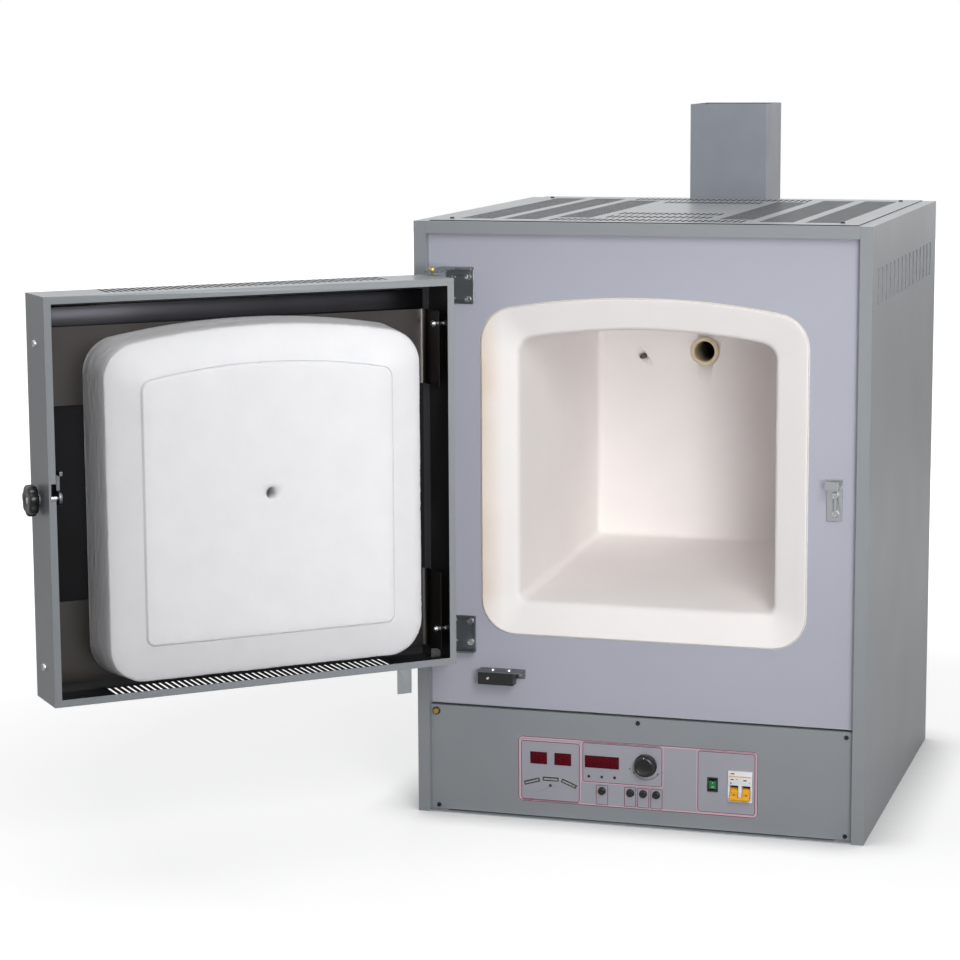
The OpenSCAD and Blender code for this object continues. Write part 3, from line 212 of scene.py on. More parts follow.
def glazed_vent_ceramic():
    # Extruded mullite tube: dense, tan, slightly speckled, darker further back along the tube
    material, tree, shader, place = start("mullite_tube_ceramic", Roughness=0.55)
    body = tint(tree, shader, noise_of(tree, place, 2.5, 4.0), "#EADCC2", "#D6C4A2")
    low = corners("vent_tube")[0]
    split = add(tree, "SeparateXYZ", {"Vector": place}).outputs
    # Darker further back along the tube, from just behind its front end
    darker_further_back = ramp(tree, split["Y"], (low.y + 2) * MM, (low.y + 60) * MM)
    tint(tree, shader, darker_further_back, body, "#4A4038")
    relief(tree, shader, noise_of(tree, place, 30, 3.0), 0.2, 0.4)
    return material


def brushed_stainless(name, pale, deep, along):
    # Cold rolled stainless: long fine brush lines and a faint straw heat tint
    material, tree, shader, place = start(name, Metallic=1.0)
    stretch = [per_metre(0.9)] * 3
    stretch[along] = per_metre(70)
    lines_at = add(tree, "Mapping", {"Vector": place, "Scale": stretch})
    lines = add(tree, "TexNoise", {"Vector": lines_at.outputs["Vector"], "Scale": 1.0, "Detail": 3.0})
    heat = noise_of(tree, place, 110, 2.0)
    tint(tree, shader, heat, pale, deep)
    gloss_range(tree, shader, lines.outputs["Fac"], 0.24, 0.4)
    relief(tree, shader, lines.outputs["Fac"], 0.02, 0.35)
    return material


def circuit_laminate():
    # Green solder mask over glass laminate, with a faint weave
    material, tree, shader, place = start("circuit_laminate", Roughness=0.35)
    weave = add(tree, "TexWave", {"Vector": place, "Scale": per_metre(6), "Distortion": 1.0})
    tint(tree, shader, weave.outputs["Fac"], "#256A42", "#1B5234")
    relief(tree, shader, weave.outputs["Fac"], 0.02, 0.3)
    return material


def finish(name, pale, deep, clouds, grain=None, bump=None, gloss=None, gloss_on_grain=False, **values):
    """A finish from two noises, each given by its size in mm and its detail: the clouds mix the
    two colours, and the grain gives the relief, of a depth and strength. gloss is the range of
    the roughness."""
    material, tree, shader, place = start(name, **values)
    noises = [noise_of(tree, place, *given) for given in (clouds, grain or clouds)]
    tint(tree, shader, noises[0], pale, deep)
    if gloss:
        gloss_range(tree, shader, noises[1 if gloss_on_grain else 0], *gloss)
    if bump:
        relief(tree, shader, noises[1], *bump)
    return material


def plated_steel(name, pale, deep, rough):
    # Electroplated steel: an even metal film with faint clouds and handling marks
    return finish(name, pale, deep, (14, 4.0), (1.1, 2.0), (0.02, 0.3), (rough - 0.06, rough + 0.1),
                  Metallic=1.0)


def moulded_plastic(name, pale, deep, rough):
    # Injection moulded plastic: even colour with a fine spark eroded grain
    return finish(name, pale, deep, (25, 2.0), (0.9, 3.0), (0.02, 0.35), (rough - 0.05, rough + 0.08), True)


def clear_lens(name, pale, deep):
    # Coloured acrylic window over the lamps: glossy, deep colour that lets light sink in
    return finish(name, pale, deep, (6, 2.0), bump=(0.02, 0.2), Roughness=0.16, Specular_IOR_Level=0.12,
                  Subsurface_Weight=0.15, Subsurface_Scale=0.004)


def screen_ink(name, pale, deep):
    # Screen printed ink: a thin satin layer, a touch uneven in density
    return finish(name, pale, deep, (2, 4.0), gloss=(0.4, 0.55))


GREY = hammered_enamel("hammered_grey_enamel", "#92979B", "#83888C", 0.42)
LILAC = hammered_enamel("lilac_grey_enamel", "#B3B5C1", "#A8A9B6", 0.36)
ZINC_SHEET = galvanised_steel("galvanised_steel", "#C6C9CC", "#A6AAAE")
# Thin satin coat on the duct's zinc sheet, a little cloudy from heat
DUCT_PAINT = finish("duct_paint_on_zinc", "#9CA0A8", "#80848C", (90, 4.0), (1.8, 2.0), (0.03, 0.3),
                    (0.3, 0.46), Metallic=0.35)
FIRED = fired_fibre_ceramic()
WHITE_FIBRE = white_fibre_board()
# Insulation wool behind the chamber: soft and fluffy
WOOL = finish("alumina_wool_blanket", "#F3F0E8", "#DAD4C8", (5, 8.0), bump=(2.0, 0.7), Roughness=1.0,
              Sheen_Weight=0.3)
VENT_CERAMIC = glazed_vent_ceramic()
# White electrical ceramic of the terminal strips
STEATITE = finish("glazed_steatite", "#EFEAE0", "#DDD6C8", (3, 3.0), bump=(0.05, 0.3), Roughness=0.3,
                  Coat_Weight=0.4)
STAINLESS = brushed_stainless("brushed_stainless", "#565351", "#413F3E", 2)
DULL_STAINLESS = brushed_stainless("heat_dulled_stainless", "#454448", "#343337", 0)
ZINC_PLATE = plated_steel("zinc_plated_steel", "#84898C", "#6C7174", 0.36)
PALE_ZINC = plated_steel("pale_zinc_plated_steel", "#B2B6B8", "#9A9EA0", 0.34)
# Painted shade: a dark steel for the walls of the top cover's slots, standing in for the shade inside them
SLOT_WALL_SHADE = plated_steel("painted_shade_slot_wall_steel", "#3A3A3D", "#2A2A2D", 0.5)
BRIGHT = plated_steel("nickel_plated_steel", "#DCDEE0", "#B8BABC", 0.2)
BLACKENED = plated_steel("blackened_steel", "#4A4C4E", "#333537", 0.36)
YELLOW_ZINC = plated_steel("yellow_passivated_zinc", "#D8BE62", "#B49648", 0.28)
BRASS = plated_steel("turned_brass", "#D2AC66", "#A98442", 0.3)
ALUMINIUM = plated_steel("extruded_aluminium", "#C8CACC", "#AEB0B4", 0.35)
# Heating alloy and probe sheath after many firings: grey brown oxide
OXIDE = finish("oxidised_heating_alloy", "#7A6C62", "#453C38", (4, 6.0), bump=(0.08, 0.5),
               gloss=(0.5, 0.8), Metallic=0.6)
# Dark heat board behind the liner: flat black with a sanded grain
CEMENT = finish("black_fibre_cement", "#222224", "#161618", (80, 3.0), (3, 6.0), (0.15, 0.5),
                Roughness=0.8, Specular_IOR_Level=0.15)
# Inside of the door pan: partly its own thin dark coat, partly painted shade of the hollow pan
PAN_PAINT_AND_SHADE = finish("dark_pan_paint_and_painted_shade", "#343437", "#1E1E20", (70, 4.0), (2, 2.0), (0.04, 0.4),
                   (0.36, 0.52), Metallic=0.3)
BLACK_ABS = moulded_plastic("black_abs", "#1E1E20", "#121214", 0.3)
SOFT_BLACK = moulded_plastic("black_phenolic", "#151517", "#0B0B0D", 0.24)
GREY_NYLON = moulded_plastic("grey_nylon", "#D8D4C6", "#C2BEB0", 0.42)
WHITE_ABS = moulded_plastic("white_polyamide", "#F0F0F2", "#E4E4E8", 0.35)
AMBER = moulded_plastic("amber_polyamide", "#F2B61E", "#E6A412", 0.32)
RED_LENS = clear_lens("red_acrylic", "#5E0014", "#46000E")
SEGMENT = clear_lens("unlit_segment_epoxy", "#6E0C1C", "#5E0A18")
GREEN_LENS = clear_lens("green_polycarbonate", "#3E8E56", "#2A6A3E")
CLEAR_LED = clear_lens("clear_led_epoxy", "#B8BCB4", "#8E928A")
# Grained polyester label film, reverse printed in lilac grey
FILM = finish("polyester_overlay_film", "#A8A8B1", "#9D9DA7", (60, 2.0), (0.8, 2.0), (0.03, 0.4),
              (0.3, 0.42), True)
MAROON = screen_ink("maroon_screen_ink", "#84283E", "#6E1C32")
PINK = screen_ink("pale_pink_screen_ink", "#DDBCC8", "#CFAEBC")
DARK_INK = screen_ink("dark_screen_ink", "#33343C", "#26272E")
LAMINATE = circuit_laminate()


# Shapes

class Shape:
    """The parts of one piece, in millimetres. Each face keeps the number of its finish."""

    def __init__(self):
        self.points = []
        self.faces = []
        self.paints = []

    def take(self, points, faces, paint=0, at=None):
        """Adds points and faces, moved by a matrix where one is given."""
        first = len(self.points)
        for p in points:
            self.points.append(tuple(at @ Vector(p)) if at else tuple(p))
        for face in faces:
            self.faces.append([first + i for i in face])
            self.paints.append(paint)

    def block(self, x, y, z, r=0.4, paint=0, at=None, steps=2):
        """A block with rounded edges, given by its span along each axis."""
        bm = bmesh.new()
        bmesh.ops.create_cube(bm, size=1)
        for v in bm.verts:
            v.co = Vector([low + (c + 0.5) * (high - low) for c, (low, high) in zip(v.co, (x, y, z))])
        bmesh.ops.bevel(bm, geom=bm.edges[:], offset=r, segments=steps, profile=0.5, affect="EDGES")
        self.absorb(bm, paint, at)

    def absorb(self, bm, paint=0, at=None):
        """Takes over a bmesh and frees it."""
        bm.verts.ensure_lookup_table()
        self.take([v.co for v in bm.verts], [[v.index for v in f.verts] for f in bm.faces], paint, at)
        bm.free()

    def turned(self, profile, at, paint=0, steps=48, lobes=None):
        """A turned solid. The profile holds (radius, height) pairs, and starts and ends on the axis.
        lobes is a function that scales the radius by the angle."""
        points = []
        faces = []
        rows = []
        for r, h in profile:
            if r < 1e-6:
                rows.append([len(points)] * steps)
                points.append((0, 0, h))
                continue
            rows.append(list(range(len(points), len(points) + steps)))
            for i in range(steps):
                a = 2 * math.pi * i / steps
                k = lobes(a, r, h) if lobes else 1
                points.append((r * k * math.cos(a), r * k * math.sin(a), h))
        for low, high in zip(rows, rows[1:]):
            for i in range(steps):
                j = (i + 1) % steps
                ring = [low[i], low[j], high[j], high[i]]
                faces.append([v for n, v in enumerate(ring) if v not in ring[:n]])
        self.take(points, faces, paint, at)

    def pipe(self, profile, at, paint=0, steps=48):
        """A turned ring, from a closed profile that stays off the axis."""
        points = [(r * math.cos(2 * math.pi * i / steps), r * math.sin(2 * math.pi * i / steps), h)
                  for r, h in profile for i in range(steps)]
        faces = []
        for n in range(len(profile)):
            for i in range(steps):
                j = (i + 1) % steps
                m = (n + 1) % len(profile)
                faces.append([n * steps + i, n * steps + j, m * steps + j, m * steps + i])
        self.take(points, faces, paint, at)

    def lofted(self, rings, at=None):
        """A skin through closed rings of equal length, capped at both ends."""
        n = len(rings[0])
        points = [p for ring in rings for p in ring]
        faces = [[k * n + i, k * n + (i + 1) % n, (k + 1) * n + (i + 1) % n, (k + 1) * n + i]
                 for k in range(len(rings) - 1) for i in range(n)]
        faces.append(list(range(n))[::-1])
        faces.append([(len(rings) - 1) * n + i for i in range(n)])
        self.take(points, faces, 0, at)

    def bent(self, path, thick, low, high, radius):
        """A bent sheet: a path in X and Y, with round bends, between two heights."""
        line = rounded_path(path, radius)
        left, right = [], []
        for i, p in enumerate(line):
            before = line[max(i - 1, 0)]
            after = line[min(i + 1, len(line) - 1)]
            run = Vector((after[0] - before[0], after[1] - before[1])).normalized()
            left.append((p[0] - run.y * thick / 2, p[1] + run.x * thick / 2))
            right.append((p[0] + run.y * thick / 2, p[1] - run.x * thick / 2))
        loop = left + right[::-1]
        n = len(line)
        points = [(x, y, z) for z in (low, high) for x, y in loop]
        m = len(loop)
        faces = [[i, (i + 1) % m, m + (i + 1) % m, m + i] for i in range(m)]
        for i in range(n - 1):
            faces.append([i + 1, i, m - 1 - i, m - 2 - i])
            faces.append([m + i, m + i + 1, 2 * m - 2 - i, 2 * m - 1 - i])
        self.take(points, faces)


def rounded_path(path, radius):
    """Replaces each inner corner of a path by an arc like curve."""
    steps = 6
    line = [path[0]]
    for a, b, c in zip(path, path[1:], path[2:]):
        b = Vector(b)
        back = (Vector(a) - b).normalized() * radius
        on = (Vector(c) - b).normalized() * radius
        for i in range(steps + 1):
            t = i / steps
            line.append(tuple(b + back * (1 - t) ** 2 + on * t ** 2))
    return line + [path[-1]]


def along_x(x, y, z):
    """Puts a turned shape's axis along +X, from a point."""
    return Matrix.Translation((x, y, z)) @ Matrix.Rotation(math.pi / 2, 4, "Y")


def along_y(x, y, z):
    """Puts a turned shape's axis along +Y, from a point."""
    return Matrix.Translation((x, y, z)) @ Matrix.Rotation(-math.pi / 2, 4, "X")


def toward_viewer(x, y, z):
    """Puts a turned shape's axis along -Y, from a point."""
    return Matrix.Translation((x, y, z)) @ Matrix.Rotation(math.pi / 2, 4, "X")


def put(name, data):
    """A new object in the scene."""
    thing = bpy.data.objects.new(name, data)
    bpy.context.scene.collection.objects.link(thing)
    return thing


def make(shape, name, body, looks, stands_for=(), on_door=False):
    """Makes one piece of a shape, on its body, in metres."""
    mesh = bpy.data.meshes.new(name)
    place = Matrix.Scale(MM, 4) @ (opened if on_door else Matrix.Identity(4))
    mesh.from_pydata([place @ Vector(p) for p in shape.points], [], shape.faces)
    for look in looks:
        mesh.materials.append(look)
    mesh.polygons.foreach_set("material_index", shape.paints)
    settle(mesh)
    piece = put(name, mesh)
    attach(piece, body)
    if stands_for:
        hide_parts(*stands_for)
    return piece


def settle(mesh):
    """Turns the faces outward and keeps only real edges sharp."""
    bm = bmesh.new()
    bm.from_mesh(mesh)
    bmesh.ops.recalc_face_normals(bm, faces=bm.faces)
    bm.to_mesh(mesh)
    bm.free()
    mesh.shade_smooth()
    mesh.set_sharp_from_angle(angle=SOFT_ANGLE)


def round_edges(piece, width):
    """Rounds a piece's folds and cut edges."""
    weld = piece.modifiers.new("joined_faces", "WELD")
    weld.merge_threshold = 2e-6
    edge = piece.modifiers.new("rounded_edges", "BEVEL")
    edge.width = width * MM
    edge.segments = 2
    edge.limit_method = "ANGLE"
    edge.angle_limit = SOFT_ANGLE


# Doorway outlines of the muffle and the liner: sill, crown, arch rise and corner radii

CORNER_STEPS = 24
ARCH_STEPS = 150
SIDE_STEPS = 110


def arc_points(cx, cz, r, a0, a1, n):
    turn = [a0 + (a1 - a0) * i / n for i in range(n + 1)]
    return [(cx + r * math.cos(a), cz + r * math.sin(a)) for a in turn]


def doorway(cx, w, z0, z1, rise, r, low_r):
    """A doorway outline with a flat sill, straight sides and a low arch."""
    h = w / 2
    big = (h * h + rise * rise) / (2 * rise)
    zc = z1 - big
    zk = zc + math.sqrt((big - r) ** 2 - (h - r) ** 2)
    a = math.atan2(zk - zc, h - r)
    right = [(cx + h, z0 + low_r + (zk - z0 - low_r) * i / SIDE_STEPS) for i in range(1, SIDE_STEPS)]
    sill = [(cx - h + low_r + (w - 2 * low_r) * i / ARCH_STEPS, z0) for i in range(1, ARCH_STEPS)]
    return (arc_points(cx + h - low_r, z0 + low_r, low_r, -math.pi / 2, 0, CORNER_STEPS) + right
            + arc_points(cx + h - r, zk, r, 0, a, CORNER_STEPS)
            + arc_points(cx, zc, big, a, math.pi - a, ARCH_STEPS)[1:-1]
            + arc_points(cx - h + r, zk, r, math.pi - a, math.pi, CORNER_STEPS)
            + [(2 * cx - x, z) for x, z in right[::-1]]
            + arc_points(cx - h + low_r, z0 + low_r, low_r, math.pi, 1.5 * math.pi, CORNER_STEPS)
            + sill)


def ring_at(outline, y):
    return [Vector((x, y, z)) for x, z in outline]


def between(a, b, t):
    return [p.lerp(q, t) for p, q in zip(a, b)]


def eased(a, b, c, steps):
    """Rings on a round edge that runs from ring a past ring b to ring c."""
    rings = []
    for i in range(steps + 1):
        t = i / steps
        rings.append([p * (1 - t) ** 2 + q * 2 * t * (1 - t) + s * t ** 2 for p, q, s in zip(a, b, c)])
    return rings


def shrunk(ring, share, level=None, axis=1):
    """A ring drawn in to a share of its size about its own middle, in its plane or at a level."""
    centre = sum(ring, Vector()) / len(ring)
    out = [centre.lerp(p, share) for p in ring]
    for p in out:
        p[axis] = ring[0][axis] if level is None else level
    return out


chamber = corners("muffle")
muffle_front, muffle_back = chamber[0].y, chamber[1].y
middle_x = (chamber[0].x + chamber[1].x) / 2
COLLAR_RISE = 26
COLLAR_R = 50
MOUTH_RISE = 18
MOUTH_R = 26
MOUTH_LOW_R = 12
BACK_R = 20
BORDER = (50.75, 46, 47)
SIDE_DRAFT = 17
FLOOR_RISE = 32
BEVEL_DEPTH = 24
BACK_WALL = 35


def make_muffle():
    """The fired chamber: collar, bevelled mouth, walls that close in, and a soft back corner."""
    side, under, over = BORDER
    low, high = chamber
    mouth_w = high.x - low.x - 2 * side
    sill, crown = low.z + under, high.z - over
    outer = doorway(middle_x, high.x - low.x, low.z, high.z, COLLAR_RISE, COLLAR_R, COLLAR_R)
    inner = doorway(middle_x, mouth_w, sill, crown, MOUTH_RISE, MOUTH_R, MOUTH_LOW_R)
    far = doorway(middle_x, mouth_w - 2 * SIDE_DRAFT, sill + FLOOR_RISE, crown - SIDE_DRAFT,
                  MOUTH_RISE, BACK_R, MOUTH_LOW_R)
    rim = ring_at(outer, muffle_front)
    mouth = ring_at(inner, muffle_front + BEVEL_DEPTH)
    cave = ring_at(far, muffle_back - BACK_WALL)
    rings = [shrunk(ring_at(outer, muffle_back), 0.02), ring_at(outer, muffle_back)]
    rings += eased(ring_at(outer, muffle_front + 3), rim, between(rim, mouth, 0.05), 4)
    rings += [between(rim, mouth, t) for t in (0.2, 0.35, 0.5, 0.65, 0.8)]
    rings += eased(between(rim, mouth, 0.88), mouth, between(mouth, cave, 0.025), 6)
    rings += [between(mouth, cave, 0.025 + 0.945 * i / 14) for i in range(1, 14)]
    rings += eased(between(mouth, cave, 0.97), cave, shrunk(cave, 0.94), 6)
    rings += [shrunk(cave, s) for s in (0.8, 0.6, 0.4, 0.2, 0.02)]
    settled = []
    for ring in rings:
        row = []
        for p in ring:
            inside = p.y > muffle_front + 4 and p.y < muffle_back - 1
            bump = 0.35 * noise.noise(p / 40) + 0.25 * noise.noise(p / 11)
            away = Vector((p.x - middle_x, 0, p.z - (sill + crown) / 2)).normalized()
            row.append(p + away * abs(bump) if inside else p)
        settled.append(row)
    shape = Shape()
    shape.lofted(settled)
    piece = make(shape, "fired_muffle", "cabinet", [FIRED], ["muffle"])
    tube, probe = corners("vent_tube"), corners("thermocouple")
    y0 = muffle_back - BACK_WALL - 20
    probe_hole_r = 5.2
    for low, high, r in ((*tube, (tube[1].x - tube[0].x) / 2 + 0.4), (*probe, probe_hole_r)):
        bit = Shape()
        x, z = middle(low, high)
        bit.turned([(0, 0), (r, 0), (r, 90), (0, 90)], along_y(x, y0, z), steps=64)
        cut(piece, bit)


def cut(piece, bit, place=Matrix.Identity(4)):
    """Cuts the space of a shape out of a piece."""
    mesh = bpy.data.meshes.new("bit")
    mesh.from_pydata([Matrix.Scale(MM, 4) @ place @ Vector(p) for p in bit.points], [], bit.faces)
    settle(mesh)
    cutter = put("bit", mesh)
    hole = piece.modifiers.new("hole", "BOOLEAN")
    hole.object = cutter
    hole.operation = "DIFFERENCE"
    hole.solver = "EXACT"
    bpy.context.view_layer.update()
    dg = bpy.context.evaluated_depsgraph_get()
    bored = bpy.data.meshes.new_from_object(piece.evaluated_get(dg))
    piece.modifiers.clear()
    piece.data = bored
    bpy.data.objects.remove(cutter)


def make_vent_tube():
    """The ceramic tube through the back wall, with a rounded lip."""
    low, high = corners("vent_tube")
    r = (high.x - low.x) / 2
    bore = r - 6.5
    turns = [math.pi * i / 8 for i in range(9)]
    profile = [(bore + 3.2 - 3.2 * math.cos(a), 3 - 3 * math.sin(a)) for a in turns]
    profile += [(r, high.y - low.y), (bore, high.y - low.y)]
    shape = Shape()
    x, z = middle(low, high)
    shape.pipe(profile, along_y(x, low.y, z), steps=64)
    make(shape, "vent_tube_ceramic", "cabinet", [VENT_CERAMIC], ["vent_tube"])


PEEP_R = 8


def make_liner():
    """The door's fibre plug: layered flank, ragged front edge, sloped band and raised middle."""
    low, high = closed_corners("door_liner")
    back_y, plug_y = low.y, high.y
    front_y = plug_y - BEVEL_DEPTH - 1
    foot_w, front_w, plug_w = high.x - low.x, 466, 367
    x = (low.x + high.x) / 2
    flare = (foot_w - front_w) / 2
    foot = doorway(x, foot_w, low.z, high.z, COLLAR_RISE, COLLAR_R, COLLAR_R)
    front = doorway(x, front_w, low.z + flare - 4, high.z - flare + 3, COLLAR_RISE, COLLAR_R, COLLAR_R)
    sill, crown = chamber[0].z + BORDER[1] + 8, chamber[1].z - BORDER[2] - 19
    plug = doorway(x + 3.5, plug_w, sill, crown, MOUTH_RISE, 16, MOUTH_LOW_R)
    foot_ring, front_ring = ring_at(foot, back_y), ring_at(front, front_y)
    step_y = plug_y - 3.5
    plug_foot, plug_top = ring_at(plug, step_y), ring_at(plug, plug_y)
    wide_foot = [p + (p - Vector((x, p.y, (sill + crown) / 2))).normalized() * 1.8 for p in plug_foot]
    rings = [shrunk(foot_ring, 0.02), shrunk(foot_ring, 0.97), foot_ring]
    rings += [between(foot_ring, front_ring, i / 24) for i in range(1, 24)]
    rings += eased(between(foot_ring, front_ring, 0.975), front_ring,
                   between(front_ring, wide_foot, 0.04), 4)
    rings += [between(front_ring, wide_foot, t) for t in (0.12, 0.3, 0.5, 0.7, 0.9)]
    rings += [wide_foot, [Vector((p.x, p.y - 3.0, p.z)) for p in between(wide_foot, plug_foot, 0.6)]]
    rings += eased(plug_foot, plug_top, shrunk(plug_top, 0.985), 4)
    rings += [shrunk(plug_top, s) for s in (0.9, 0.75, 0.6, 0.45, 0.3, 0.15, 0.02)]
    settled = []
    for ring in rings:
        row = []
        for p in ring:
            flank = back_y + 2 < p.y < front_y - 0.5
            edge = abs(p.y - front_y) < 2.5
            inward = Vector((x - p.x, 0, (sill + crown) / 2 - p.z)).normalized()
            layers = 0.5 + 0.5 * math.sin(p.y * 0.75 + 2.4 * noise.noise(p / 60))
            loose = abs(noise.noise(Vector((p.x / 30, p.y / 7, p.z / 30))))
            ragged = abs(noise.noise(p / 5)) + 0.6 * abs(noise.noise(p / 2.2 + Vector((7, 0, 3))))
            crack = 1.6 if front_y - 5 < p.y < front_y - 2.6 else 0.0
            shift = 0.7 * layers + 1.5 * loose + crack if flank else 1.3 * ragged if edge else 0.0
            lower = 0.35 * abs(noise.noise(p / 35)) + 0.15 * abs(noise.noise(p / 8))
            row.append(p + inward * shift - Vector((0, 0 if p.y < back_y + 1 else lower, 0)))
        settled.append(row)
    shape = Shape()
    shape.lofted(settled)
    piece = make(shape, "fibre_door_liner", "door", [WHITE_FIBRE], ["door_liner"], True)
    x, z = middle(*closed_corners("peephole_tube"))
    run = plug_y - back_y
    bit = Shape()
    bit.turned([(0, 0), (PEEP_R, 0), (PEEP_R, run - 2), (PEEP_R + 1.6, run + 9), (0, run + 9)],
               along_y(x, back_y - 8, z), steps=48)
    cut(piece, bit, opened)


# Door pan, boards, strips and latch

def remade(name, node, body, looks, edge_width, choose=None):
    """A packed sheet part with its flat faces joined and its folds rounded. choose gives the
    number of a face's finish from its middle on the closed door."""
    bm = bmesh.new()
    bm.from_mesh(frame["nodes"][node].data)
    bmesh.ops.remove_doubles(bm, verts=bm.verts, dist=2e-6)
    for face in bm.faces:
        face.material_index = choose(closed @ (face.calc_center_median() / MM)) if choose else 0
    bmesh.ops.dissolve_limit(bm, angle_limit=math.radians(0.5), verts=bm.verts, edges=bm.edges,
                             delimit={"MATERIAL"})
    mesh = bpy.data.meshes.new(name)
    bm.to_mesh(mesh)
    bm.free()
    for look in looks:
        mesh.materials.append(look)
    piece = put(name, mesh)
    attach(piece, body)
    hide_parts(node)
    round_edges(piece, edge_width)


def make_door_pan():
    """The folded door pan, grey outside and dark inside, where the dark is partly its paint and partly
    painted shade.
    """
    low, high = closed_corners("door_shell")
    skin = 0.7

    # Faces inside the pan take the dark finish: its paint, with painted shade of the hollow
    def side(c):
        within = (low.x + skin < c.x < high.x - skin - 1.5 and low.z + 0.2 < c.z < high.z - 0.2
                  and low.y + skin < c.y < high.y - 0.3)
        return 1 if within else 0

    remade("door_pan", "door_shell", "door", [GREY, PAN_PAINT_AND_SHADE], 0.5, side)


def make_backing_board():
    """The heat board, with a face of heat dulled stainless above it where the pan shows over the strip."""
    low, high = closed_corners("door_backing_board")
    strip_top = closed_corners("liner_strips")[1].z
    shape = Shape()
    shape.block((low.x, high.x), (low.y, high.y), (low.z, strip_top - 2), 0.8)
    shape.block((low.x, high.x), (low.y, high.y), (strip_top - 1.5, high.z), 0.8, paint=1)
    make(shape, "door_heat_board", "door", [CEMENT, DULL_STAINLESS], ["door_backing_board"],
         True)


def make_liner_strips():
    """Two bent stainless straps that hold the liner, with wide bends at the ends."""
    low, high = closed_corners("liner_strips")
    back_y = low.y + 0.5
    door = closed_corners("door_shell")
    shape = Shape()
    for z0, z1 in ((low.z, door[0].z + 132), (door[1].z - 155, high.z)):
        shape.bent([(low.x + 0.5, high.y), (low.x + 0.5, back_y), (high.x - 0.5, back_y),
                    (high.x - 0.5, high.y - 20)], 1.0, z0, z1, 9)
    make(shape, "liner_straps", "door", [STAINLESS], ["liner_strips"], True)


def make_latch_knob():
    """The black phenolic knob with seven soft lobes, on its spindle."""
    low, high = closed_corners("latch_knob")
    middle_z = (low.z + high.z) / 2
    middle_y = (low.y + high.y) / 2
    r = (high.y - low.y) / 2
    at = along_x(low.x, middle_y, middle_z)
    run = high.x - low.x
    lobes = 7
    reach = 0.11

    def lobed(a, radius, h):
        depth = reach * min(1.0, max(0.0, (radius / r - 0.55) * 3))
        return 1 - depth * (0.5 - 0.5 * math.cos(lobes * a)) ** 1.4

    shape = Shape()
    shape.turned([(0, 0), (3.4, 0), (4, 0.6), (4, run - 16), (0, run - 16)], at, paint=1)
    shape.turned([(0, run - 18), (8.4, run - 17.6), (8.8, run - 14.5), (r * 0.82, run - 14),
                  (r * 0.97, run - 12.6), (r, run - 10), (r, run - 5), (r * 0.97, run - 2.2),
                  (r * 0.88, run - 0.5), (r * 0.74, run), (r * 0.5, run - 0.5), (r * 0.3, run - 1.4),
                  (5.2, run - 1.6), (5, run - 2.4), (0, run - 2.4)], at, steps=112, lobes=lobed)
    shape.turned([(0, run - 3), (4.6, run - 3), (4.6, run - 1.4), (3.4, run - 0.9), (0, run - 0.8)],
                 at, paint=1, steps=32)
    make(shape, "latch_grip", "latch", [SOFT_BLACK, BRIGHT], ["latch_knob"], True)


def make_peephole_cover():
    """The hanging peephole cover: a dished disc, its arm, pivot screw and small knob."""
    low, high = closed_corners("peephole_cover")
    x, hole_z = middle(*closed_corners("peephole_tube"))
    r = (high.x - low.x) / 2
    plate_back = closed_corners("door_shell")[0].y - 1.3
    pivot_z = high.z - 8
    front = plate_back - 3
    shape = Shape()
    shape.turned([(0, 0), (r - 0.6, 0), (r, 0.6), (r, 2.2), (r - 0.9, 3), (r - 4, 3), (r - 5, 2.4),
                  (0, 2.4)], toward_viewer(x, plate_back, hole_z), steps=72)
    shape.block((x - 7.6, x + 7.6), (front + 0.1, plate_back - 0.1), (hole_z + 6, pivot_z), 0.7)
    shape.turned([(0, 0.1), (7.4, 0.1), (7.9, 0.7), (7.9, 2.3), (7.3, 2.9), (0, 2.9)],
                 toward_viewer(x, plate_back, pivot_z), steps=40)
    shape.turned([(0, -9.5), (1.9, -9.5), (1.9, 3), (4.4, 3), (4.4, 3.9), (3.6, 4.7), (2, 5), (0, 5)],
                 toward_viewer(x, plate_back, pivot_z), paint=1, steps=32)
    shape.turned([(0, 2), (3, 2), (2.6, 6), (3.4, 9), (5.6, 10.6), (6, 12.4), (5.4, 14.2), (3.2, 15),
                  (0, 15)], toward_viewer(x, plate_back, hole_z - 10), paint=2, steps=40)
    make(shape, "peephole_shutter", "peephole_flap", [ZINC_PLATE, BRIGHT, BLACK_ABS],
         ["peephole_cover"], True)


# Control panel: print, displays, knob, buttons, rocker and breaker

film_low, film_high = corners("panel_overlay")
film_y = film_low.y
INK = 0.08


def on_film(x, z):
    """A place on the film, from its lower left corner, in the cabinet's millimetres."""
    return film_low.x + x, film_low.z + z


def rounded_frame(x0, x1, z0, z1, r):
    """Corner points of a rounded rectangle."""
    turns = [(x1 - r, z0 + r, -90), (x1 - r, z1 - r, 0), (x0 + r, z1 - r, 90), (x0 + r, z0 + r, 180)]
    points = []
    for cx, cz, a in turns:
        points += arc_points(cx, cz, r, math.radians(a), math.radians(a + 90), 6)
    return points


def printed_frame(shape, x0, x1, z0, z1, r, width, paint=0):
    """A printed line round a rounded rectangle, as a thin layer on the film."""
    outer = rounded_frame(x0, x1, z0, z1, r)
    inner = rounded_frame(x0 + width, x1 - width, z0 + width, z1 - width, max(r - width, 0.3))
    n = len(outer)
    points = []
    for line in (outer, inner):
        for y in (film_y, film_y - INK):
            for x, z in line:
                fx, fz = on_film(x, z)
                points.append((fx, y, fz))
    faces = []
    for i in range(n):
        j = (i + 1) % n
        faces.append([n + i, n + j, 3 * n + j, 3 * n + i])
        faces.append([i, j, n + j, n + i])
        faces.append([2 * n + i, 2 * n + j, 3 * n + j, 3 * n + i])
    shape.take(points, faces, paint)


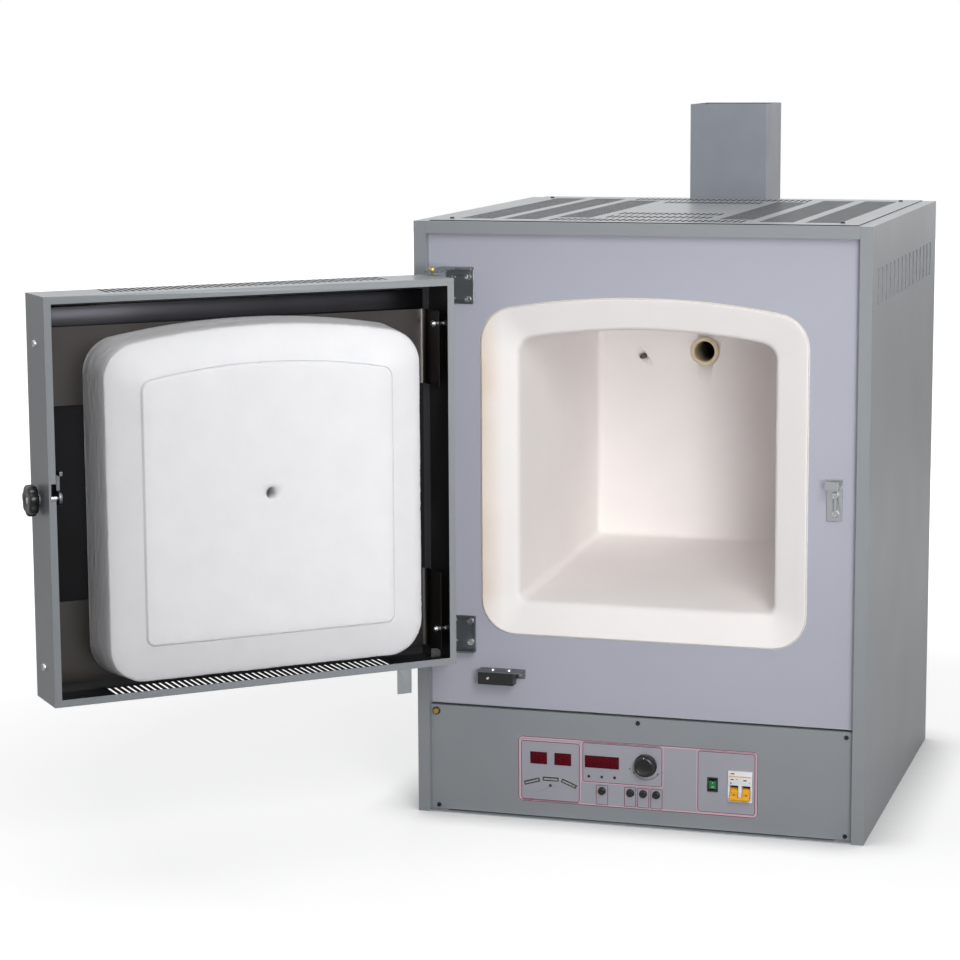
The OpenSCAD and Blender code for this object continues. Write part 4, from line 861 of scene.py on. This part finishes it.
def printed_patch(shape, points, paint=0, back=film_y, thick=INK):
    """A thin patch with straight sides, printed on the film where no other depth is given."""
    n = len(points)
    both = [(on_film(*p)[0], y, on_film(*p)[1]) for y in (back, back - thick) for p in points]
    faces = [[n + i for i in range(n)]]
    faces += [[i, (i + 1) % n, n + (i + 1) % n, n + i] for i in range(n)]
    shape.take(both, faces, paint)


BOXES = [(4.5, 94, 3, 92.5), (98.5, 219, 36, 95.5), (272, 357, 4, 95.3)]
BUTTON_BOXES = [(119, 137.3), (161.9, 179.4), (181.6, 199.5), (201.6, 219.4)]
KNOB_AT = (194.5, 67.5)
SCALE_R = 22


def make_print():
    """Maroon rules with a pale line beside them, the arrows under the knob and its two signs."""
    shape = Shape()
    w, h = film_high.x - film_low.x, film_high.z - film_low.z
    printed_frame(shape, 0.2, w - 0.2, 0.2, h - 0.2, 6, 0.9)
    printed_frame(shape, 1.1, w - 1.1, 1.1, h - 1.1, 5.2, 1.5, 1)
    for x0, x1, z0, z1 in BOXES:
        printed_frame(shape, x0, x1, z0, z1, 3.5, 0.9)
        printed_frame(shape, x0 - 1.7, x1 + 1.7, z0 - 1.2, z1 + 1.7, 4.6, 1.15, 1)
    for x0, x1 in BUTTON_BOXES:
        printed_frame(shape, x0, x1, 2.5, 32.5, 1.4, 0.8)
    kx, kz = KNOB_AT
    sweep = [math.radians(a) for a in range(218, 323, 4)]
    outer = [(kx + (SCALE_R + 0.45) * math.cos(a), kz + (SCALE_R + 0.45) * math.sin(a)) for a in sweep]
    inner = [(kx + (SCALE_R - 0.45) * math.cos(a), kz + (SCALE_R - 0.45) * math.sin(a)) for a in sweep]
    for i in range(len(sweep) - 1):
        printed_patch(shape, [outer[i], outer[i + 1], inner[i + 1], inner[i]])
    for a, way in ((math.radians(218), -1), (math.radians(322), 1)):
        tip = a + way * 0.17
        head = [(kx + r * math.cos(b), kz + r * math.sin(b)) for r, b in
                ((SCALE_R + 1.7, a), (SCALE_R, tip), (SCALE_R - 1.7, a))]
        printed_patch(shape, head)
    for dx, dz, bar in ((-24.2, -7.2, True), (24.2, -9.5, False)):
        x, z = kx + dx, kz + dz
        printed_patch(shape, rectangle(x, z, 3.2, 0.7), 2)
        if bar:
            printed_patch(shape, rectangle(x, z, 0.7, 3.2), 2)
    make(shape, "panel_print", "cabinet", [MAROON, PINK, DARK_INK], ())


def rectangle(x, z, w, h):
    return [(x - w / 2, z - h / 2), (x + w / 2, z - h / 2), (x + w / 2, z + h / 2), (x - w / 2, z + h / 2)]


MODULE_DEPTH = 14
DIGIT = (7.2, 12.6)
SEGMENT_W = 1.3


def add_digit(shape, x, z, y):
    """An unlit seven segment digit, leaning a little, just in front of its window."""
    w, h = DIGIT
    lean = 0.1
    bars = [(0, h / 2, True), (0, 0, True), (0, -h / 2, True), (-w / 2, h / 4, False),
            (w / 2, h / 4, False), (-w / 2, -h / 4, False), (w / 2, -h / 4, False)]
    for bx, bz, flat in bars:
        long = (w if flat else h / 2) - SEGMENT_W * 0.9
        t = SEGMENT_W / 2
        half = long / 2
        tip = [(-half, 0), (t - half, -t), (half - t, -t), (half, 0), (half - t, t), (t - half, t)]
        if not flat:
            tip = [(v, -u) for u, v in tip]
        outline = [(x + bx + u + lean * (bz + v), z + bz + v) for u, v in tip]
        printed_patch(shape, outline, back=y, thick=0.05)


def make_displays():
    """Red windows with their unlit digits behind."""
    y = film_high.y
    windows = [(31, 66.9, 25.4, 18, 2), (68, 66.9, 25.4, 18, 2), (127.7, 66.9, 51.6, 18, 4)]
    glass = {"small": Shape(), "main": Shape()}
    digits = Shape()
    for x, z, w, h, n in windows:
        fx, fz = on_film(x, z)
        kind = "main" if n == 4 else "small"
        glass[kind].block((fx - w / 2, fx + w / 2), (y, y + MODULE_DEPTH), (fz - h / 2, fz + h / 2), 0.3)
        for i in range(n):
            add_digit(digits, x + (i - (n - 1) / 2) * w / n, z, y)
    make(glass["small"], "small_display_windows", "cabinet", [RED_LENS], ["small_displays"])
    make(glass["main"], "main_display_window", "cabinet", [RED_LENS], ["main_display"])
    make(digits, "display_digits", "cabinet", [SEGMENT], ())


LED_BARS = [(20.8, 30.5, 17), (49.5, 35.7, 0), (77.6, 30.8, -22)]
DOTS = [(49.1, 25.9), (108, 44.5), (127.5, 44.7), (147.2, 44.9)]


def make_lamps():
    """Three bar lamps in dark frames, and four dot lamps."""
    shape = Shape()
    w, h, border, cells = 24, 5.5, 1.3, 4
    cell_w = (w - 2 * border) / cells
    y = film_high.y
    for x, z, turn in LED_BARS:
        fx, fz = on_film(x, z)
        at = Matrix.Translation((fx, y, fz)) @ Matrix.Rotation(-math.radians(turn), 4, "Y")
        shape.block((-w / 2, w / 2), (-1, MODULE_DEPTH), (-h / 2, h / 2), 0.4, at=at)
        for i in range(cells):
            x0 = -w / 2 + border + i * cell_w
            shape.block((x0 + 0.15, x0 + cell_w - 0.15), (-1.35, 1), (-h / 2 + 1.4, h / 2 - 1.4), 0.2,
                        paint=1, at=at)
    for x, z in DOTS:
        fx, fz = on_film(x, z)
        shape.turned([(0, -14), (1.9, -14), (1.9, 0.4), (1.7, 1.1), (1.2, 1.45), (0, 1.5)],
                     toward_viewer(fx, y, fz), paint=2, steps=24)
    make(shape, "indicator_lamps", "cabinet", [BLACK_ABS, CLEAR_LED, BLACKENED], ["indicator_leds"])


def make_setting_knob():
    """The setting knob: a round skirt, a fluted grip and a dished cap with a pointer line."""
    low, high = corners("setting_knob")
    x, z = middle(low, high)
    r = (high.x - low.x) / 2
    front = -low.y
    base = front - 14.4
    flutes = 36

    def fluted(a, radius, h):
        on_grip = 1.0 if radius > r * 0.8 and base + 4.5 < h < front - 2.2 else 0.0
        return 1 - 0.022 * on_grip * (0.5 + 0.5 * math.cos(flutes * a))

    profile = [(0, -high.y), (3, -high.y), (3, base), (r - 1, base), (r, base + 0.8), (r, base + 2.4),
               (r - 0.8, base + 3.4), (r * 0.9, base + 4.0), (r * 0.885, base + 5.0),
               (r * 0.87, front - 3), (r * 0.83, front - 1.2), (r * 0.76, front - 0.3), (r * 0.7, front),
               (r * 0.64, front - 0.25), (r * 0.6, front - 0.7), (0, front - 1.1)]
    shape = Shape()
    shape.turned(profile, toward_viewer(x, 0, z), steps=144, lobes=fluted)
    shape.block((-0.5, 0.5), (-front + 0.4, -front + 1.2), (r * 0.62, r * 0.86), 0.15, paint=1,
                at=Matrix.Translation((x, 0, z)))
    make(shape, "setting_knob_grip", "knob", [SOFT_BLACK, WHITE_ABS], ["setting_knob"])


BUTTON_BODIES = {"mode_button": "mode", "up_button": "up", "down_button": "down", "run_button": "run"}


def make_buttons():
    for node, body in BUTTON_BODIES.items():
        low, high = corners(node)
        x, z = middle(low, high)
        r = (high.x - low.x) / 2
        front, back = -low.y, -high.y
        shape = Shape()
        shape.turned([(0, back), (2.5, back), (2.5, front - 7), (r, front - 7), (r, front - 1.5),
                      (r - 0.3, front - 0.7), (r - 1.0, front - 0.15), (r - 2.0, front),
                      (r - 3.4, front - 0.3), (0, front - 0.6)], toward_viewer(x, 0, z), steps=56)
        make(shape, node + "_cap", body, [SOFT_BLACK], [node])


def make_rocker():
    """The fan switch's bezel, with a raised rim."""
    low, high = corners("rocker_frame")
    x, z = middle(low, high)
    w, h = (high.x - low.x) / 2, (high.z - low.z) / 2
    rim = 2.2
    bezel = Shape()
    y0, y1 = low.y, low.y + 1.8
    at = Matrix.Translation((x, 0, z))
    for depth, inset, lap, r in (((y0, y1), 0, 0.3, 0.35), ((y1, high.y), 1, 0, 0.1)):
        for low_x, high_x, low_z, high_z in ((inset - w, rim - w, inset - h, h - inset),
                                             (w - rim, w - inset, inset - h, h - inset),
                                             (rim - w - lap, w - rim + lap, inset - h, rim - h),
                                             (rim - w - lap, w - rim + lap, h - rim, h - inset)):
            bezel.block((low_x, high_x), depth, (low_z, high_z), r, at=at)
    bezel.block((rim - w, w - rim), (y1 + 14, high.y), (rim - h, h - rim), 0.1, at=at)
    make(bezel, "rocker_bezel", "cabinet", [BLACK_ABS], ["rocker_frame"])


def make_breaker():
    """The breaker's nose: white shell, dark lever slots, printed marks and a yellow rule."""
    low, high = corners("breaker_body")
    x, z = middle(low, high)
    w, front = (high.x - low.x) / 2, low.y
    shape = Shape()
    nose_h = 23
    deep = 20
    slot_w, slot_z0, slot_z1 = 6.6, 3 - nose_h, 2
    at = Matrix.Translation((x, 0, z))
    for a, b in ((-w, -w / 2 - slot_w), (slot_w - w / 2, w / 2 - slot_w), (w / 2 + slot_w, w)):
        shape.block((a, b), (front, front + deep), (slot_z0, slot_z1), 0.25, at=at)
    for tall in ((slot_z1 - 0.3, nose_h), (-nose_h, slot_z0 + 0.3)):
        shape.block((-w, w), (front, front + deep), tall, 0.7, at=at)
    shape.block((0.5 - w, w - 0.5), (front + 13, front + deep + 1), (slot_z0, slot_z1), 0.2, paint=1,
                at=at)
    shape.block((-w, w), (front + deep, high.y - 8), (low.z - z, high.z - z), 0.8, at=at)
    thin = 0.12
    marks = [(0, 15.2, 2 * w - 3, 1.5, 2), (-11, 19.3, 5.4, 1.6, 1), (-11.5, 10.8, 4.6, 1.5, 1),
             (7.5, 10.2, 4.8, 1.8, 1), (-4.6, 11.2, 2.6, 0.8, 3), (-13.2, 5.4, 1.5, 2.6, 3),
             (14.2, 6.6, 1.2, 1.2, 3)]
    for mx, mz, mw, mh, paint in marks:
        shape.block((mx - mw / 2, mx + mw / 2), (front - thin, front + 0.4),
                    (mz - mh / 2, mz + mh / 2), 0.05, paint=paint, at=at, steps=1)
    make(shape, "breaker_case", "cabinet", [WHITE_ABS, BLACK_ABS, AMBER, DARK_INK], ["breaker_body"])


def make_toggle():
    """Two amber levers on one pin, tied by a bar, pointing down."""
    body = corners("breaker_body")
    x = middle(*body)[0]
    w = (body[1].x - body[0].x) / 2
    pivot = Vector(joints["breaker_throw"]["pos_m"]) / MM
    lean = Matrix.Rotation(math.radians(32), 4, "X")
    at = Matrix.Translation((x, pivot.y, pivot.z)) @ lean
    shape = Shape()
    for side in (-w / 2, w / 2):
        shape.turned([(0, 0), (5.6, 0), (6.2, 0.6), (6.2, 11), (5.6, 11.6), (0, 11.6)],
                     at @ along_x(side - 5.8, 0, 0), steps=40)
        shape.block((side - 5.8, side + 5.8), (-17.6, -3), (-2.6, 2.4), 0.8, at=at, steps=3)
        shape.turned([(0, 0), (1.3, 0), (1.3, 0.25), (0, 0.3)],
                     at @ Matrix.Translation((side, -9, 2.4)), paint=1, steps=20)
    shape.block((-w / 2 - 1, w / 2 + 1), (-17.4, -12.6), (-2.2, 1.9), 0.6, at=at)
    shape.turned([(0, 0), (1.4, 0.1), (1.4, 2 * w - 6.5), (0, 2 * w - 6.4)],
                 at @ along_x(3.2 - w, 0, 0), paint=1, steps=24)
    make(shape, "breaker_levers", "breaker", [AMBER, DARK_INK], ["breaker_toggle"])


def make_fan_rocker():
    """The green rocker, lower half out, with a bar and a ring moulded on it."""
    pivot = Vector(joints["rocker_tilt"]["pos_m"]) / MM
    low, high = corners("fan_rocker")
    half = (high.x - low.x) / 2 - 1.1
    tilt = Matrix.Rotation(math.radians(10), 4, "X")
    at = Matrix.Translation((middle(low, high)[0], pivot.y, pivot.z)) @ tilt
    h = (high.z - low.z) / 2 - 0.8
    line = [(4, -4), (4, 4), (-4.4, h), (-6.0, h - 0.5), (-5.7, h * 0.6), (-5.3, 0), (-5.7, -h * 0.6),
            (-6.0, 0.5 - h), (-4.4, -h)]
    rings = [[Vector((sx, a, b)) for a, b in line] for sx in (-half + 0.1, half - 0.1)]
    shape = Shape()
    ends = [shrunk(ring, 0.96, level, 0) for ring, level in zip(rings, (-half, half))]
    shape.lofted([ends[0]] + rings + [ends[1]], at=at)
    shape.turned([(0, 0), (1.1, 0), (1.1, 2 * half + 2.2), (0, 2 * half + 2.2)],
                 at @ along_x(-half - 1.1, 0, 0), steps=24)
    shape.block((-0.45, 0.45), (-5.85, -5.2), (h * 0.42, h * 0.74), 0.08, paint=1, at=at)
    shape.pipe([(1.1, 0), (1.7, 0), (1.7, 0.5), (1.1, 0.5)], at @ toward_viewer(0, -5.2, -h * 0.58),
               paint=1, steps=32)
    make(shape, "fan_switch_rocker", "rocker", [GREEN_LENS, WHITE_ABS], ["fan_rocker"])


def make_ground_bolt():
    """The brass earth bolt with its black washer."""
    low, high = corners("ground_terminal")
    x, z = middle(low, high)
    panel_y = corners("control_panel")[0].y
    at = toward_viewer(x, panel_y, z)
    shape = Shape()
    shape.pipe([(3.1, 0), (6.1, 0), (6.1, 0.9), (5.6, 1.2), (3.1, 1.2)], at, paint=1, steps=40)
    shape.turned([(0, -13.5), (2.9, -13.5), (2.9, 1.2), (4.7, 1.2), (4.7, 3.6), (4.2, 4.3), (2.2, 4.3),
                  (2.2, 4.9), (1.6, 5), (0, 5)], at, steps=48,
                 lobes=lambda a, r, h: hexagon(a) if 4 < r < 5 else 1)
    make(shape, "earth_bolt", "cabinet", [BRASS, BLACK_ABS], ["ground_terminal"])


def hexagon(a):
    """How far a hexagon's side lies in from its corners, by angle."""
    part = (a % (math.pi / 3)) - math.pi / 6
    return math.cos(math.pi / 6) / math.cos(part)


# Louvre hoods: pressed in behind each slot of the side panels

LOUVRES = 15
LOUVRE_TOP = 62
LOUVRE_H = 51
LOUVRE_FIRST = 47
LOUVRE_DEPTH = 7


def make_louvres(side, node, name):
    low, high = corners(node)
    pitch = (high.y - low.y - 75) / LOUVRES
    sheet_x = high.x if side > 0 else low.x
    shape = Shape()
    for i in range(LOUVRES):
        y0 = low.y + LOUVRE_FIRST + i * pitch
        y1 = y0 + pitch * 0.4
        z0, z1 = high.z - LOUVRE_TOP - LOUVRE_H, high.z - LOUVRE_TOP
        rings = []
        for k in range(13):
            t = k / 12
            swell = math.sin(math.pi * min(1, min(t, 1 - t) * 6 + 0.001) / 2)
            z = z0 + (z1 - z0) * t
            row = []
            for thick in (0, 1.0):
                arc_n = range(9) if thick == 0 else range(8, -1, -1)
                for j in arc_n:
                    a = math.pi / 2 * j / 8
                    inset = 1.2 + thick + (LOUVRE_DEPTH - 2.2) * swell * math.sin(a)
                    y = y1 + 0.6 - (y1 - y0 + 4) * (1 - math.cos(a)) * (0.4 + 0.6 * swell)
                    row.append(Vector((sheet_x - side * inset, y, z)))
            rings.append(row)
        shape.lofted(rings)
    make(shape, name, "cabinet", [GREY], ())


def make_impeller():
    """The fan's hub with its twisted blades."""
    low, high = corners("fan_impeller")
    joint = Vector(joints["fan_spin"]["pos_m"]) / MM
    tip_gap, bore_r, hub_r, blades = 3.5, 2.05, 20, 7
    frame_low, frame_high = corners("fan_frame")
    tip = (frame_high.x - frame_low.x) / 2 - tip_gap
    shape = Shape()
    at = Matrix.Translation((joint.x, joint.y, low.z))
    tall = high.z - low.z
    shape.pipe([(bore_r, 0), (hub_r - 0.6, 0), (hub_r, 0.8), (hub_r, tall - 2.4),
                (hub_r - 0.8, tall - 0.8), (hub_r - 3, tall), (bore_r, tall)], at, steps=64)
    for i in range(blades):
        rings = []
        for k in range(9):
            t = k / 8
            r = hub_r - 2 + (tip - hub_r + 2) * t
            pitch = math.radians(48 - 22 * t)
            chord = 20 + 6 * t
            swept = 2 * math.pi * i / blades + 0.32 * t * t
            row = []
            for u in (-0.5, -0.25, 0, 0.25, 0.5, 0.25, 0, -0.25):
                camber = 1.6 * (1 - 4 * u * u)
                thick = 0.0 if u in (-0.5, 0.5) else (0.8 if len(row) < 5 else -0.8)
                side = u * chord * math.cos(pitch) - (camber + thick) * math.sin(pitch)
                up = u * chord * math.sin(pitch) + (camber + thick) * math.cos(pitch)
                up = max(-tall / 2 + 0.3, min(tall / 2 - 0.3, up))
                a = swept + side / r
                rr = min(r, tip)
                row.append(Vector((rr * math.cos(a), rr * math.sin(a), tall / 2 + up)))
            rings.append(row)
        shape.lofted(rings, at=at)
    make(shape, "fan_blades", "fan", [BLACK_ABS], ["fan_impeller"])


for draw in (make_muffle, make_vent_tube, make_liner, make_door_pan, make_backing_board,
             make_liner_strips, make_latch_knob, make_peephole_cover, make_print, make_displays,
             make_lamps, make_setting_knob, make_buttons, make_rocker, make_breaker, make_toggle,
             make_fan_rocker, make_ground_bolt):
    draw()
make_louvres(1, "right_side_panel", "right_louvre_hoods")
make_louvres(-1, "left_side_panel", "left_louvre_hoods")
make_impeller()

# Finishes and edge widths, in mm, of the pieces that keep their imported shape

KEPT = (
    (GREY, {"left_side_panel": 0.55, "right_side_panel": 0.55, "front_top_rail": 0.5}),
    (ZINC_SHEET, {"base_plate": 0.4, "partition_deck": 0.4, "inner_casing": 0.4,
                  "chamber_supports": 0.5}),
    (FILM, {"panel_overlay": 0.15}),
    (WOOL, {"insulation_block": 2.0}),
    (OXIDE, {"heating_elements": 0.5, "thermocouple": 0.6}),
    (STEATITE, {"heater_terminals": 1.0}),
    (DUCT_PAINT, {"exhaust_duct": 0.5}),
    (BLACKENED, {"fan_frame": 0.8, "casing_screws": 0.25}),
    (ZINC_PLATE, {"upper_hinge_bracket": 0.6, "lower_hinge_bracket": 0.6, "interlock_bracket": 0.5,
                  "latch_cam": 0.6}),
    (YELLOW_ZINC, {"hinge_pins": 0.5}),
    (BRIGHT, {"bracket_screws": 0.25, "door_screws": 0.25, "peephole_tube": 0.2}),
    (PALE_ZINC, {"strike_plate": 0.5, "interlock_tab": 0.4}),
    (BLACK_ABS, {"interlock_switch": 0.5, "button_switches": 0.4, "cable_gland": 0.7}),
    (GREY_NYLON, {"interlock_plunger": 0.4, "terminal_block": 0.6}),
    (ALUMINIUM, {"encoder": 0.3, "heat_sink": 0.4}),
    (LAMINATE, {"controller_board": 0.2}),
    (WHITE_ABS, {"solid_state_relay": 0.8}),
)

for node_name, look, slot_name in (("front_panel", LILAC, "lilac_grey"),
                                   ("rear_panel", GREY, "hammered_grey"),
                                   ("control_panel", GREY, "hammered_grey")):
    remade(node_name + "_sheet", node_name, "cabinet", [look], 0.5)

# The top cover's slot walls take the dark steel as painted shade inside the slots
cover_top = corners("top_cover")[1].z
remade("top_cover_sheet", "top_cover", "cabinet", [GREY, SLOT_WALL_SHADE], 0.2,
       lambda c: 1 if cover_top - 0.95 < c.z < cover_top - 0.05 else 0)

for look, edge_widths in KEPT:
    for node_name, edge_width in edge_widths.items():
        part = frame["nodes"][node_name]
        part.data.materials.clear()
        part.data.materials.append(look)
        round_edges(part, edge_width)


# Floor, light and camera

def make_floor():
    """A plain pale floor that shows white where no shadow falls, and a painted contact shadow where its
    glow is dimmed near the kiln.
    """
    material, tree, shader, place = start("pale_studio_floor", Roughness=0.85, Specular_IOR_Level=0.1)
    tint(tree, shader, noise_of(tree, place, 30, 2.0), "#BEBEBE", "#BABABA")
    path = add(tree, "LightPath").outputs
    mirrored = sums(tree, "MULTIPLY", path["Is Glossy Ray"], 0.3)
    shown = sums(tree, "MAXIMUM", path["Is Camera Ray"], mirrored)
    away = add(tree, "VectorMath", {0: place}, operation="LENGTH").outputs["Value"]
    level = ramp(tree, away, 0.9, 2.2, 0.64, 1.1)
    # Painted contact shadow: the floor's glow is dimmed where ambient occlusion finds the kiln close by
    open_sky = add(tree, "AmbientOcclusion", {"Distance": 0.09}).outputs["AO"]
    painted_contact_shadow = sums(tree, "MULTIPLY", level, sums(tree, "POWER", open_sky, 1.5))
    glow = add(tree, "Emission", {"Color": hue("#FFFFFF"), "Strength": painted_contact_shadow})
    none = add(tree, "Emission", {"Strength": 0.0})
    chosen = add(tree, "MixShader", {0: shown, 1: none.outputs[0], 2: glow.outputs[0]})
    total = add(tree, "AddShader", {0: shader.outputs[0], 1: chosen.outputs[0]})
    tree.links.new(total.outputs[0], tree.nodes["Material Output"].inputs["Surface"])
    wide = 12000
    mesh = bpy.data.meshes.new("studio_floor")
    square = ((-1, -1), (1, -1), (1, 1), (-1, 1))
    mesh.from_pydata([Vector((x * wide, y * wide, 0)) * MM for x, y in square], [], [(0, 1, 2, 3)])
    mesh.materials.append(material)
    put("studio_floor", mesh)


def make_world(left, right):
    """Soft light from all round, weaker on the left. The camera, mirrors and glass see white."""
    world = bpy.data.worlds.new("studio")
    world.use_nodes = True
    tree = world.node_tree
    tree.nodes.clear()
    path = add(tree, "LightPath").outputs
    seen = sums(tree, "MAXIMUM", path["Is Camera Ray"], path["Is Glossy Ray"])
    shown = sums(tree, "MAXIMUM", seen, path["Is Transmission Ray"])
    split = add(tree, "SeparateXYZ", {"Vector": add(tree, "TexCoord").outputs["Generated"]})
    level = ramp(tree, split.outputs["X"], -0.8, 0.8, left, right)
    soft = add(tree, "Background", {"Color": hue("#F8F8FC"), "Strength": level})
    white = add(tree, "Background", {"Color": hue("#FFFFFF"), "Strength": 1.0})
    mix = add(tree, "MixShader", {0: shown, 1: soft.outputs[0], 2: white.outputs[0]})
    add(tree, "OutputWorld", {"Surface": mix.outputs[0]})
    bpy.context.scene.world = world


make_floor()
make_world(0.16, 0.2)


def make_lamp(name, place, target, size, level, spread=180, mirrored=True):
    """A soft box. Its level is the share of a white surface's brightness that it gives there."""
    lamp = bpy.data.lights.new(name, "AREA")
    lamp.shape = "SQUARE"
    lamp.size = size
    lamp.spread = math.radians(spread)
    place, target = Vector(place), Vector(target)
    lamp.energy = level * math.pi ** 2 * (place - target).length_squared
    obj = put(name, lamp)
    obj.location = place
    obj.rotation_euler = (target - place).to_track_quat("-Z", "Y").to_euler()
    obj.visible_camera = False
    obj.visible_glossy = mirrored


make_lamp("key_soft_box", (1.1, -2.5, 1.9), (-0.1, -0.3, 0.65), 1.2, 0.4)
make_lamp("front_soft_box", (1.2, -2.8, 0.8), (0, -0.2, 0.62), 0.7, 0.035, 50)
make_lamp("top_soft_box", (-0.1, -0.2, 2.6), (-0.1, -0.2, 0.9), 2.0, 0.6)
make_lamp("back_soft_box", (-0.6, 3.2, 1.3), (0, 0.3, 0.5), 1.4, 0.3, mirrored=False)
make_lamp("fill_soft_box", (2.2, 0.6, 2.0), (0.2, 0.2, 0.8), 1.2, 0.03)


def make_camera():
    """The photograph's view, fitted to the cabinet, the door and the chamber."""
    yaw, pitch, roll = 0.308, -0.1494, -0.0403
    place = Vector((926.40, -4118.54, 1137.07)) * MM
    turn = (Matrix.Rotation(roll, 3, "Y") @ Matrix.Rotation(pitch, 3, "X")
            @ Matrix.Rotation(yaw, 3, "Z"))
    right, ahead, up = turn.col[0], turn.col[1], turn.col[2]
    look = Matrix((right, up, -ahead)).transposed().to_4x4()
    data = bpy.data.cameras.new("photograph_view")
    data.sensor_width = 36
    data.lens = 102.907
    data.shift_x = 0.0242
    data.shift_y = -0.0077
    data.clip_end = 100
    camera = put("photograph_view", data)
    camera.matrix_world = Matrix.Translation(place) @ look
    bpy.context.scene.camera = camera


make_camera()
bpy.context.scene.view_settings.view_transform = "Standard"
